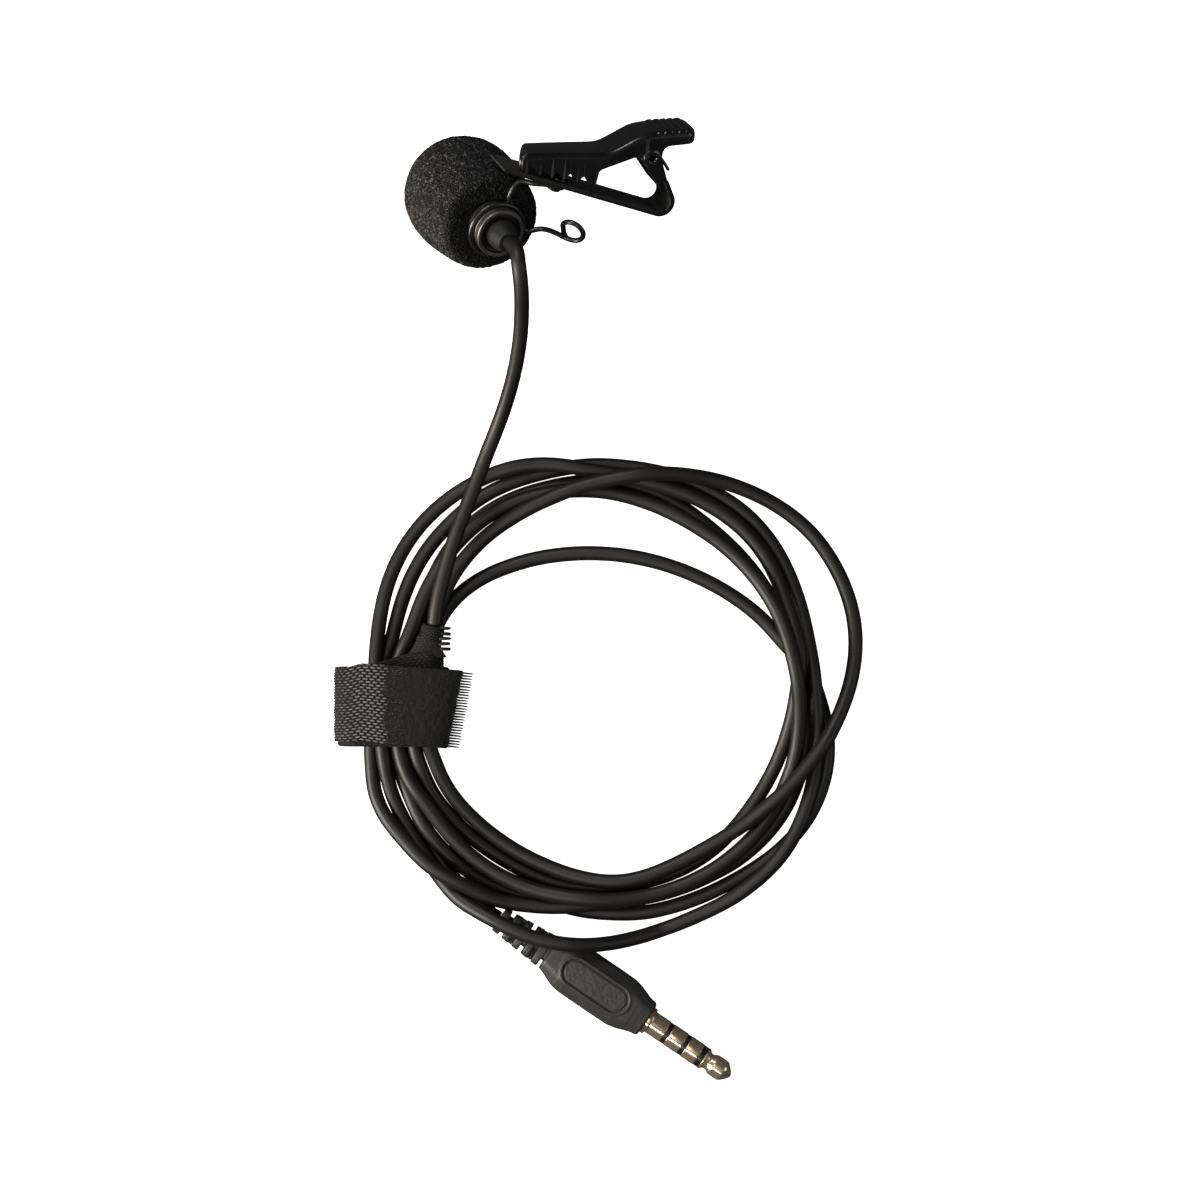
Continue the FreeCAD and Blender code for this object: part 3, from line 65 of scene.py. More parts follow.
# Centre line of the coiled lead, from the strap's neck to the plug's boot.
COIL = points("""
-24.48,-3.73,8 -24.95,-5.14,7.77 -25.39,-6.55,7.57 -25.8,-7.99,7.39 -26.15,-9.44,7.23
-26.44,-10.9,7.1 -26.63,-12.39,6.99 -26.72,-13.88,6.92 -26.7,-15.38,6.85 -26.56,-16.87,6.74
-26.31,-18.33,6.5 -25.98,-19.74,6.12 -25.58,-21.11,5.66 -25.13,-22.46,5.18 -24.65,-23.81,4.74
-24.14,-25.16,4.32 -23.57,-26.49,3.93 -22.89,-27.78,3.58 -22.1,-29.02,3.27 -21.22,-30.2,2.99
-20.25,-31.32,2.75 -19.21,-32.38,2.54 -18.12,-33.4,2.37 -16.99,-34.37,2.23 -15.81,-35.3,2.13
-14.6,-36.17,2.08 -13.34,-37,2.05 -12.05,-37.77,2.06 -10.73,-38.48,2.1 -9.39,-39.13,2.18
-8.02,-39.73,2.29 -6.63,-40.28,2.44 -5.22,-40.78,2.6 -3.79,-41.2,2.77 -2.34,-41.55,2.94
-0.87,-41.81,3.09 0.61,-41.98,3.21 2.11,-42.02,3.28 3.61,-41.92,3.32 5.09,-41.67,3.33
6.54,-41.3,3.3 7.96,-40.83,3.27 9.36,-40.28,3.23 10.73,-39.67,3.21 12.08,-39.02,3.22
13.41,-38.33,3.27 14.73,-37.61,3.34 16.03,-36.87,3.44 17.32,-36.11,3.56 18.59,-35.33,3.72
19.84,-34.53,3.9 21.07,-33.7,4.11 22.27,-32.83,4.35 23.44,-31.92,4.62 24.58,-30.98,4.88
25.71,-30.02,5.08 26.84,-29.04,5.2 27.94,-28.02,5.26 28.98,-26.94,5.25 29.96,-25.81,5.19
30.91,-24.65,5.12 31.84,-23.47,5.09 32.74,-22.27,5.06 33.58,-21.05,4.86 34.32,-19.8,4.47
34.99,-18.52,4.06 35.62,-17.22,3.67 36.2,-15.88,3.31 36.73,-14.52,2.97 37.18,-13.12,2.66
37.56,-11.7,2.37 37.86,-10.25,2.12 38.08,-8.79,1.89 38.2,-7.3,1.69 38.22,-5.82,1.52
38.14,-4.32,1.39 37.95,-2.84,1.28 37.66,-1.37,1.2 37.27,0.08,1.15 36.79,1.5
36.23,2.89 35.58,4.24 34.86,5.56 34.07,6.83 33.21,8.06
32.28,9.24 31.27,10.35 30.18,11.38,1.13 29.03,12.34,1.17 27.82,13.23,1.24
26.57,14.05,1.33 25.28,14.81,1.47 23.96,15.49,1.62 22.6,16.11,1.79 21.22,16.67,2
19.83,17.16,2.23 18.41,17.59,2.5 16.98,17.95,2.78 15.54,18.24,3.09 14.1,18.47,3.42
12.65,18.64,3.77 11.2,18.75,4.15 9.76,18.82,4.56 8.32,18.82,4.96 6.86,18.75,5.3
5.38,18.59,5.51 3.9,18.37,5.58 2.42,18.12,5.55 0.95,17.83,5.5 -0.52,17.5,5.47
-1.97,17.12,5.46 -3.4,16.69,5.49 -4.82,16.19,5.54 -6.21,15.64,5.54 -7.59,15.05,5.47
-8.95,14.44,5.33 -10.29,13.79,5.14 -11.6,13.09,4.9 -12.88,12.35,4.64 -14.13,11.57,4.38
-15.35,10.73,4.16 -16.54,9.82,3.97 -17.66,8.85,3.81 -18.73,7.8,3.69 -19.73,6.69,3.6
-20.67,5.52,3.54 -21.53,4.29,3.53 -22.3,3,3.56 -22.96,1.66,3.61 -23.52,0.27,3.71
-23.99,-1.15,3.83 -24.41,-2.58,3.98 -24.8,-4.02,4.18 -25.15,-5.46,4.38 -25.48,-6.92,4.52
-25.76,-8.39,4.57 -25.96,-9.88,4.56 -26.13,-11.37,4.56 -26.37,-12.85,4.55 -26.73,-14.31,4.53
-27.13,-15.75,4.52 -27.46,-17.22,4.53 -27.66,-18.7,4.55 -27.72,-20.2,4.55 -27.61,-21.7,4.54
-27.29,-23.16,4.5 -26.83,-24.57,4.31 -26.31,-25.93,3.95 -25.76,-27.26,3.52 -25.12,-28.56,3.12
-24.35,-29.8,2.79 -23.48,-30.98,2.49 -22.54,-32.12,2.21 -21.54,-33.22,1.98 -20.49,-34.27,1.76
-19.39,-35.27,1.58 -18.25,-36.23,1.43 -17.06,-37.14,1.31 -15.83,-37.99,1.22 -14.56,-38.79,1.16
-13.27,-39.55,1.13 -11.94,-40.26 -10.59,-40.91 -9.21,-41.48 -7.79,-41.98
-6.35,-42.38 -4.88,-42.7 -3.4,-42.92 -1.9,-43.05 -0.4,-43.09
1.1,-43.03 2.59,-42.89 4.07,-42.66 5.55,-42.38 7.01,-42.06
8.46,-41.68 9.89,-41.22 11.29,-40.67 12.65,-40.04 13.97,-39.32
15.24,-38.52 16.45,-37.65 17.61,-36.7 18.71,-35.67 19.74,-34.58
20.72,-33.44,1.13 21.65,-32.27,1.16 22.54,-31.07,1.22 23.39,-29.83,1.3 24.18,-28.56,1.42
24.94,-27.27,1.56 25.63,-25.95,1.74 26.27,-24.61,1.94 26.84,-23.24,2.17 27.36,-21.86,2.42
27.82,-20.46,2.7 28.23,-19.05,3.01 28.58,-17.63,3.35 28.89,-16.21,3.71 29.13,-14.78,4.12
29.33,-13.37,4.57 29.52,-11.94,5 29.66,-10.48,5.31 29.72,-8.99,5.49 29.64,-7.5,5.55
29.41,-6.02,5.43 29.05,-4.6,5.13 28.62,-3.21,4.76 28.18,-1.82,4.39 27.74,-0.43,4.04
27.27,0.96,3.72 26.75,2.33,3.43 26.16,3.69,3.17 25.5,5.02,2.94 24.76,6.3,2.74
23.93,7.55,2.57 23.02,8.73,2.44 22.02,9.84,2.34 20.94,10.88,2.27 19.79,11.85,2.24
18.59,12.74,2.24 17.34,13.56,2.27 16.04,14.31,2.32 14.7,15,2.41 13.35,15.62,2.53
11.96,16.18,2.68 10.56,16.68,2.85 9.13,17.11,3.01 7.68,17.51,3.11 6.23,17.87,3.18
4.77,18.21,3.23 3.3,18.51,3.25 1.83,18.79,3.26 0.35,19.05,3.29 -1.13,19.31,3.35
-2.6,19.57,3.43 -4.08,19.82,3.47 -5.57,20.04,3.43 -7.05,20.18,3.31 -8.54,20.23,3.15
-10.03,20.18,2.96 -11.51,20.03,2.72 -12.96,19.77,2.46 -14.38,19.39,2.2 -15.78,18.9,1.97
-17.16,18.33,1.76 -18.5,17.68,1.58 -19.81,16.97,1.43 -21.09,16.19,1.31 -22.32,15.35,1.23
-23.51,14.44,1.16 -24.65,13.46,1.13 -25.73,12.42 -26.75,11.32,1.13 -27.7,10.15,1.15
-28.58,8.94,1.21 -29.38,7.67,1.29 -30.1,6.37,1.4 -30.74,5.01,1.54 -31.29,3.63,1.72
-31.77,2.22,1.92 -32.17,0.8,2.14 -32.5,-0.65,2.4 -32.76,-2.1,2.68 -32.97,-3.55,2.99
-33.13,-5,3.32 -33.27,-6.45,3.69 -33.37,-7.9,4.06 -33.42,-9.37,4.35 -33.4,-10.86,4.52
-33.33,-12.36,4.58 -33.23,-13.86,4.6 -33.11,-15.35,4.58 -32.99,-16.85,4.49 -32.86,-18.33,4.36
-32.71,-19.82,4.21 -32.54,-21.31,4.11 -32.35,-22.79,4.01 -32.13,-24.27,3.89 -31.87,-25.73,3.68
-31.54,-27.18,3.44 -31.13,-28.6,3.22 -30.62,-30,3.01 -30.02,-31.36,2.82 -29.37,-32.7,2.69
-28.64,-34.01,2.64 -27.86,-35.3,2.69 -27.09,-36.58,2.78 -26.32,-37.86,2.9 -25.51,-39.12,3.02
-24.66,-40.35,3.15 -23.77,-41.55,3.33 -22.86,-42.7,3.6 -21.88,-43.76,4.01 -20.81,-44.67,4.55
-19.65,-45.45,5.08 -18.42,-46.14,5.59 -17.17,-46.81,6.09 -15.89,-47.47,6.53 -14.58,-48.12,6.82
-13.23,-48.76,7.01 -11.86,-49.34,7.11 -10.45,-49.85,7.15 -9.01,-50.28,7.14 -7.55,-50.63,7.11
-6.08,-50.91,7.03 -4.6,-51.1,6.9 -3.12,-51.21,6.65 -1.68,-51.24,6.24 -0.28,-51.2,5.69
1.07,-51.1,5.05 2.4,-50.95,4.37 3.71,-50.75,3.66 5.03,-50.5,3 6.36,-50.2,2.38
7.66,-49.85,1.71 9.01,-49.44,1.21 10.42,-48.95,1.18 11.82,-48.42,1.3 13.2,-47.84,1.37
14.57,-47.23,1.48 15.92,-46.6,1.63 17.26,-45.95,1.8 18.57,-45.24,2 19.85,-44.49,2.23
21.07,-43.65,2.48 22.25,-42.76,2.71 23.41,-41.82,2.91 24.52,-40.83,3.07 25.58,-39.78,3.22
26.57,-38.66,3.35 27.48,-37.47,3.44 28.3,-36.22,3.48 29.04,-34.91,3.47 29.7,-33.56,3.41
30.29,-32.19,3.3 30.8,-30.79,3.17 31.25,-29.36,3.04 31.63,-27.91,2.92 31.93,-26.45,2.83
32.15,-24.96,2.77 32.32,-23.47,2.73 32.42,-21.98,2.75 32.46,-20.48,2.86 32.46,-18.99,3.02
32.42,-17.5,3.2 32.34,-16.01,3.35 32.23,-14.52,3.44 32.1,-13.02,3.47 31.94,-11.53,3.45
31.76,-10.05,3.29 31.54,-8.6,3.01 31.29,-7.15,2.7 31.03,-5.7,2.42 30.74,-4.25,2.16
30.42,-2.8,1.94 30.05,-1.36,1.74 29.63,0.07,1.56 29.16,1.49,1.41 28.64,2.89,1.3
28.05,4.27,1.22 27.4,5.62,1.16 26.69,6.94,1.13 25.89,8.21 25.01,9.43
24.07,10.59 23.05,11.7 21.97,12.74 20.81,13.69 19.59,14.56
18.32,15.36 17.01,16.09 15.66,16.75 14.29,17.34 12.88,17.87
11.46,18.36 10.03,18.8 8.58,19.17 7.11,19.47 5.62,19.71
4.14,19.89 2.64,20.04 1.15,20.14 -0.35,20.18 -1.85,20.13
-3.35,20 -4.83,19.79 -6.31,19.52 -7.78,19.21 -9.23,18.85
-10.68,18.45 -12.11,18 -13.52,17.48 -14.9,16.89 -16.24,16.23
-17.54,15.48 -18.78,14.64 -19.97,13.72 -21.11,12.74 -22.2,11.71
-23.25,10.64 -24.26,9.53 -25.21,8.37 -26.09,7.16 -26.9,5.89
-27.63,4.58,1.13 -28.3,3.24,1.17 -28.89,1.86,1.23 -29.41,0.46,1.32 -29.87,-0.96,1.45
-30.27,-2.4,1.6 -30.64,-3.85,1.77 -30.99,-5.29,1.98 -31.4,-6.72,2.19 -31.91,-8.13,2.26
-32.41,-9.54,2.24 -32.77,-11,2.24 -32.98,-12.48,2.24 -33.16,-13.97,2.24 -33.4,-15.45,2.24
-33.69,-16.92,2.24 -33.94,-18.4,2.24 -34.12,-19.89,2.27 -34.19,-21.39,2.34 -34.18,-22.89,2.43
-34.1,-24.38,2.55 -33.99,-25.87,2.69 -33.83,-27.35,2.87 -33.54,-28.8,3.08 -33.05,-30.2,3.32
-32.41,-31.54,3.58 -31.64,-32.79,3.86 -30.74,-33.96,4.15 -29.79,-35.09,4.42 -28.81,-36.2,4.66
-27.81,-37.28,4.93 -26.76,-38.32,5.18 -25.64,-39.3,5.37 -24.43,-40.18,5.5 -23.15,-40.96,5.53
-21.82,-41.64,5.44 -20.49,-42.3,5.23 -19.19,-42.98,4.92 -17.89,-43.68,4.63 -16.55,-44.29,4.38
-15.13,-44.74,4.16 -13.69,-45.09,3.97 -12.21,-45.34,3.81 -10.73,-45.52,3.68 -9.24,-45.66,3.57
-7.75,-45.74,3.5 -6.25,-45.76,3.47 -4.75,-45.71,3.42 -3.26,-45.59,3.31 -1.77,-45.44,3.14
-0.3,-45.29,2.92 1.17,-45.14,2.67 2.64,-44.98,2.4 4.12,-44.83,2.15 5.59,-44.64,1.93
7.05,-44.4,1.73 8.51,-44.09,1.56 9.96,-43.71,1.41 11.39,-43.27,1.3 12.8,-42.79,1.21
14.2,-42.24,1.16 15.57,-41.63 16.92,-40.98 18.25,-40.29 19.55,-39.54
20.81,-38.72 22,-37.81 23.14,-36.84 24.22,-35.8 25.24,-34.7
26.18,-33.53 27.05,-32.3 27.83,-31.02 28.51,-29.68 29.11,-28.31
29.62,-26.9 30.05,-25.46 30.39,-24 30.63,-22.52 30.79,-21.03,1.13
30.89,-19.53,1.2 30.89,-18.04,1.34 30.78,-16.56,1.54 30.53,-15.1,1.8 30.21,-13.67,2.13
29.84,-12.27,2.5 29.47,-10.86,2.85 29.12,-9.44,3.18 28.81,-7.99,3.39 28.48,-6.53,3.31
28.08,-5.11,3.03 27.55,-3.74,2.71 26.94,-2.4,2.42 26.26,-1.09,2.16 25.55,0.21,1.93
24.79,1.49,1.73 23.99,2.74,1.55 23.12,3.96,1.41 22.2,5.14,1.3 21.22,6.27,1.22
20.19,7.37,1.16 19.12,8.42 18.02,9.43 16.89,10.42 15.73,11.38
14.55,12.3 13.34,13.18 12.08,14 10.78,14.75 9.44,15.42
8.07,16.02 6.66,16.55 5.23,17.01 3.78,17.39 2.31,17.66
0.81,17.79 -0.69,17.81 -2.19,17.73 -3.68,17.58 -5.16,17.35
-6.63,17.07 -8.1,16.73 -9.55,16.35 -10.98,15.92 -12.39,15.41
-13.78,14.82 -15.12,14.15 -16.41,13.38 -17.64,12.54 -18.83,11.62
-19.95,10.62 -20.99,9.54 -21.94,8.38 -22.81,7.16 -23.61,5.89
-24.32,4.57,1.11 -24.95,3.21,1.13 -25.5,1.81,1.18 -25.97,0.39,1.26 -26.36,-1.06,1.38
-26.7,-2.51,1.53 -27.02,-3.96,1.73 -27.32,-5.42,1.95 -27.57,-6.88,2.15 -27.77,-8.34,2.46
-27.93,-9.76,2.9 -28.18,-11.16,3.38 -28.56,-12.55,3.78 -29.03,-13.95,4.04 -29.46,-15.38,4.19
-29.77,-16.85,4.27 -29.96,-18.33,4.3 -30.05,-19.83,4.32 -30.02,-21.33,4.36 -29.81,-22.81,4.42
-29.42,-24.26,4.51 -28.91,-25.66,4.64 -28.24,-27,4.78 -27.44,-28.26,4.88 -26.55,-29.47,4.82
-25.67,-30.66,4.63 -24.81,-31.87,4.39 -23.94,-33.08,4.18 -23.02,-34.25,4 -22.05,-35.38,3.86
-21.02,-36.47,3.76 -19.93,-37.5,3.69 -18.78,-38.46,3.65 -17.58,-39.36,3.64 -16.34,-40.2,3.67
-15.04,-40.96,3.74 -13.71,-41.64,3.85 -12.35,-42.25,3.99 -10.96,-42.78,4.16 -9.54,-43.23,4.37
-8.11,-43.6,4.61 -6.66,-43.89,4.88 -5.2,-44.11,5.13 -3.72,-44.3,5.29 -2.23,-44.46,5.32
-0.73,-44.58,5.24 0.76,-44.64,5.07 2.24,-44.62,4.84 3.71,-44.54,4.59 5.19,-44.38,4.35
6.65,-44.15,4.14 8.11,-43.84,3.96 9.56,-43.47,3.8 10.98,-43.02,3.66 12.38,-42.5,3.55
13.76,-41.9,3.46 15.1,-41.24,3.41 16.41,-40.51,3.38 17.68,-39.7,3.34 18.9,-38.84,3.29
20.08,-37.91,3.22 21.21,-36.93,3.16 22.28,-35.88,3.1 23.3,-34.78,3.04 24.25,-33.62,2.98
25.13,-32.41,2.91 25.94,-31.14,2.86 26.67,-29.83,2.84 27.31,-28.48,2.88 27.87,-27.1,3
28.37,-25.7,3.25 28.79,-24.3,3.6 29.12,-22.89,3.97 29.38,-21.47,4.37 29.54,-20.04,4.79
29.64,-18.61,5.24 29.67,-17.19,5.71 29.65,-15.77,6.2 29.56,-14.35,6.69 29.41,-12.93,7.14
29.19,-11.48,7.46 28.91,-10.01,7.6 28.58,-8.55,7.58 28.23,-7.1,7.42 27.83,-5.68,7.14
27.38,-4.3,6.77 26.86,-2.95,6.36 26.27,-1.64,5.96 25.6,-0.35,5.58 24.85,0.9,5.22
24.04,2.12,4.89 23.16,3.3,4.59 22.22,4.43,4.32 21.23,5.53,4.07 20.17,6.58,3.85
19.07,7.58,3.66 17.92,8.53,3.49 16.73,9.42,3.36 15.49,10.26,3.25 14.22,11.06,3.16
12.93,11.82,3.06 11.62,12.53,2.94 10.27,13.2,2.84 8.91,13.82,2.77 7.52,14.38,2.72
6.11,14.88,2.7 4.67,15.33,2.7 3.22,15.7,2.73 1.75,16,2.78 0.27,16.21,2.87
-1.22,16.34,2.97 -2.72,16.37,3.08 -4.21,16.33,3.17 -5.71,16.22,3.24 -7.2,16.04,3.3
-8.67,15.77,3.34 -10.13,15.42,3.36 -11.57,14.98,3.37 -12.97,14.47,3.37 -14.35,13.87,3.38
-15.68,13.17,3.38 -16.94,12.36,3.39 -18.14,11.46,3.4 -19.29,10.49,3.42 -20.38,9.46,3.43
-21.41,8.37,3.44 -22.36,7.21,3.46 -23.24,6,3.47 -24.04,4.73,3.48 -24.79,3.43,3.5
-25.51,2.11,3.53 -26.16,0.77,3.6 -26.75,-0.61,3.68 -27.27,-2.02,3.77 -27.77,-3.43,3.9
-28.29,-4.83,4.03 -28.86,-6.21,4.06 -29.47,-7.58,3.92 -30.04,-8.92,3.58 -30.41,-10.31,3.15
-30.57,-11.74,2.74 -30.64,-13.21,2.43 -30.73,-14.69,2.26 -30.9,-16.18,2.23 -31.06,-17.68,2.24
-31.15,-19.17,2.24 -31.12,-20.67,2.24 -30.94,-22.16,2.23 -30.58,-23.62,2.24 -30.09,-25.03,2.33
-29.55,-26.42,2.48 -29,-27.81,2.69 -28.43,-29.17,2.93 -27.84,-30.53,3.17 -27.23,-31.89,3.36
-26.53,-33.21,3.46 -25.71,-34.47,3.47 -24.8,-35.66,3.37 -23.84,-36.78,3.17 -22.82,-37.85,2.88
-21.76,-38.87,2.59 -20.63,-39.81,2.31 -19.42,-40.67,2.07 -18.16,-41.45,1.86 -16.84,-42.15,1.67
-15.49,-42.78,1.5 -14.11,-43.34,1.37 -12.7,-43.84,1.27 -11.27,-44.29,1.19 -9.82,-44.7,1.14
-8.37,-45.07 -6.92,-45.44 -5.46,-45.81 -4.01,-46.18 -2.54,-46.48
-1.05,-46.69 0.44,-46.83 1.94,-46.91 3.44,-46.94 4.94,-46.91
6.43,-46.79 7.92,-46.57 9.38,-46.26 10.84,-45.88 12.27,-45.44
13.69,-44.95 15.09,-44.41 16.46,-43.82 17.82,-43.17 19.16,-42.49
20.48,-41.78 21.78,-41.04 23.06,-40.25 24.31,-39.42 25.52,-38.53
26.68,-37.58 27.79,-36.57 28.84,-35.51 29.82,-34.37 30.72,-33.16
31.51,-31.89 32.2,-30.56 32.79,-29.18 33.28,-27.76 33.66,-26.31
33.93,-24.84 34.08,-23.34 34.12,-21.84 34.03,-20.35 33.84,-18.86
33.55,-17.39 33.16,-15.94 32.73,-14.5 32.25,-13.08 31.67,-11.7
30.98,-10.37 30.15,-9.12 29.13,-8.02 28.04,-6.99 27.03,-5.88
26.05,-4.75 25.04,-3.63 23.97,-2.58 22.84,-1.6 21.66,-0.67
20.44,0.2 19.18,1.02 17.89,1.79 16.57,2.51 15.23,3.17
13.86,3.79 12.47,4.36 11.06,4.87 9.64,5.34 8.2,5.75
6.74,6.1 5.27,6.39 3.79,6.63 2.29,6.81 0.8,6.92
-0.7,6.99 -2.2,7 -3.7,6.95 -5.2,6.84 -6.69,6.68
-8.17,6.46 -9.64,6.17 -11.1,5.82 -12.54,5.4 -13.96,4.92
-15.36,4.38 -16.73,3.75 -18.05,3.04 -19.31,2.22,1.13 -20.5,1.31,1.18
-21.59,0.29,1.26 -22.57,-0.84,1.38 -23.44,-2.05,1.51 -24.17,-3.35,1.68 -24.72,-4.73,1.88
-25.08,-6.17,2.12 -25.31,-7.64,2.26 -25.5,-9.13,2.25 -25.83,-10.59,2.23 -26.33,-12.01,2.24
-26.95,-13.37,2.24 -27.47,-14.78,2.24 -27.78,-16.25,2.24 -27.93,-17.74,2.24 -27.99,-19.24,2.24
-28,-20.74,2.23 -27.97,-22.24,2.26 -27.81,-23.73,2.22 -27.51,-25.18,2 -27.19,-26.6,1.64
-26.95,-28.04,1.3 -26.79,-29.52,1.15 -26.65,-31.02 -26.43,-32.5 -26.11,-33.97
-25.68,-35.4 -25.11,-36.79 -24.41,-38.12,1.11 -23.62,-39.39,1.14 -22.75,-40.61,1.26
-21.81,-41.76,1.5 -20.81,-42.81,1.85 -19.75,-43.78,2.29 -18.66,-44.73,2.68 -17.55,-45.72,2.91
-16.4,-46.67,3.02 -15.17,-47.53,3
""")

# Centre line of the lead from the strap's neck up to the head.
LEAD = points("""
-24.48,-3.73,8 -24.43,-2.93,8.05 -24.34,-2.14,8.1 -24.23,-1.34,8.15 -24.1,-0.55,8.18
-23.95,0.23,8.21 -23.79,1.02,8.22 -23.61,1.8,8.24 -23.41,2.58,8.24 -23.21,3.35,8.25
-23,4.12,8.25 -22.79,4.9,8.25 -22.57,5.67,8.26 -22.35,6.44,8.26 -22.12,7.21,8.27
-21.88,7.97,8.28 -21.63,8.73,8.29 -21.37,9.49,8.3 -21.1,10.25,8.31 -20.83,11,8.32
-20.54,11.75,8.33 -20.25,12.49,8.34 -19.95,13.24,8.36 -19.66,13.98,8.38 -19.37,14.73,8.39
-19.07,15.48,8.42 -18.79,16.23,8.45 -18.5,16.97,8.48 -18.22,17.72,8.52 -17.93,18.47,8.58
-17.65,19.21,8.66 -17.36,19.96,8.75 -17.08,20.7,8.87 -16.79,21.43,9.01 -16.5,22.16,9.17
-16.2,22.88,9.37 -15.91,23.59,9.58 -15.62,24.3,9.82 -15.34,25,10.09 -15.06,25.69,10.38
-14.79,26.38,10.69 -14.52,27.06,11.03 -14.27,27.73,11.38 -14.03,28.4,11.76 -13.8,29.06,12.14
-13.58,29.72,12.54 -13.37,30.38,12.95 -13.16,31.03,13.37 -12.97,31.68,13.8 -12.79,32.34,14.22
-12.62,32.99,14.65 -12.46,33.65,15.08 -12.3,34.3,15.51 -12.16,34.97,15.94 -12.03,35.63,16.38
-11.91,36.29,16.81 -11.8,36.95,17.25 -11.7,37.62,17.68 -11.61,38.28,18.12 -11.54,38.95,18.56
-11.48,39.61,19 -11.43,40.28,19.45 -11.39,40.94,19.9 -11.36,41.6,20.35 -11.34,42.27,20.8
-11.32,42.92,21.26 -11.33,43.58,21.72 -11.34,44.24,22.17 -11.37,44.91,22.6 -11.42,45.6,23.02
-11.48,46.3,23.39 -11.56,47.03,23.71 -11.65,47.8,23.91 -11.75,48.6,23.92 -11.84,49.36,23.71
-11.97,50.05,23.33 -12.15,50.64,22.81 -12.44,51.08,22.21 -12.78,51.42,21.57 -13.13,51.76,20.93
-13.48,52.14,20.32 -13.82,52.55,19.73 -14.17,52.95,19.12 -14.51,53.34,18.52
""")

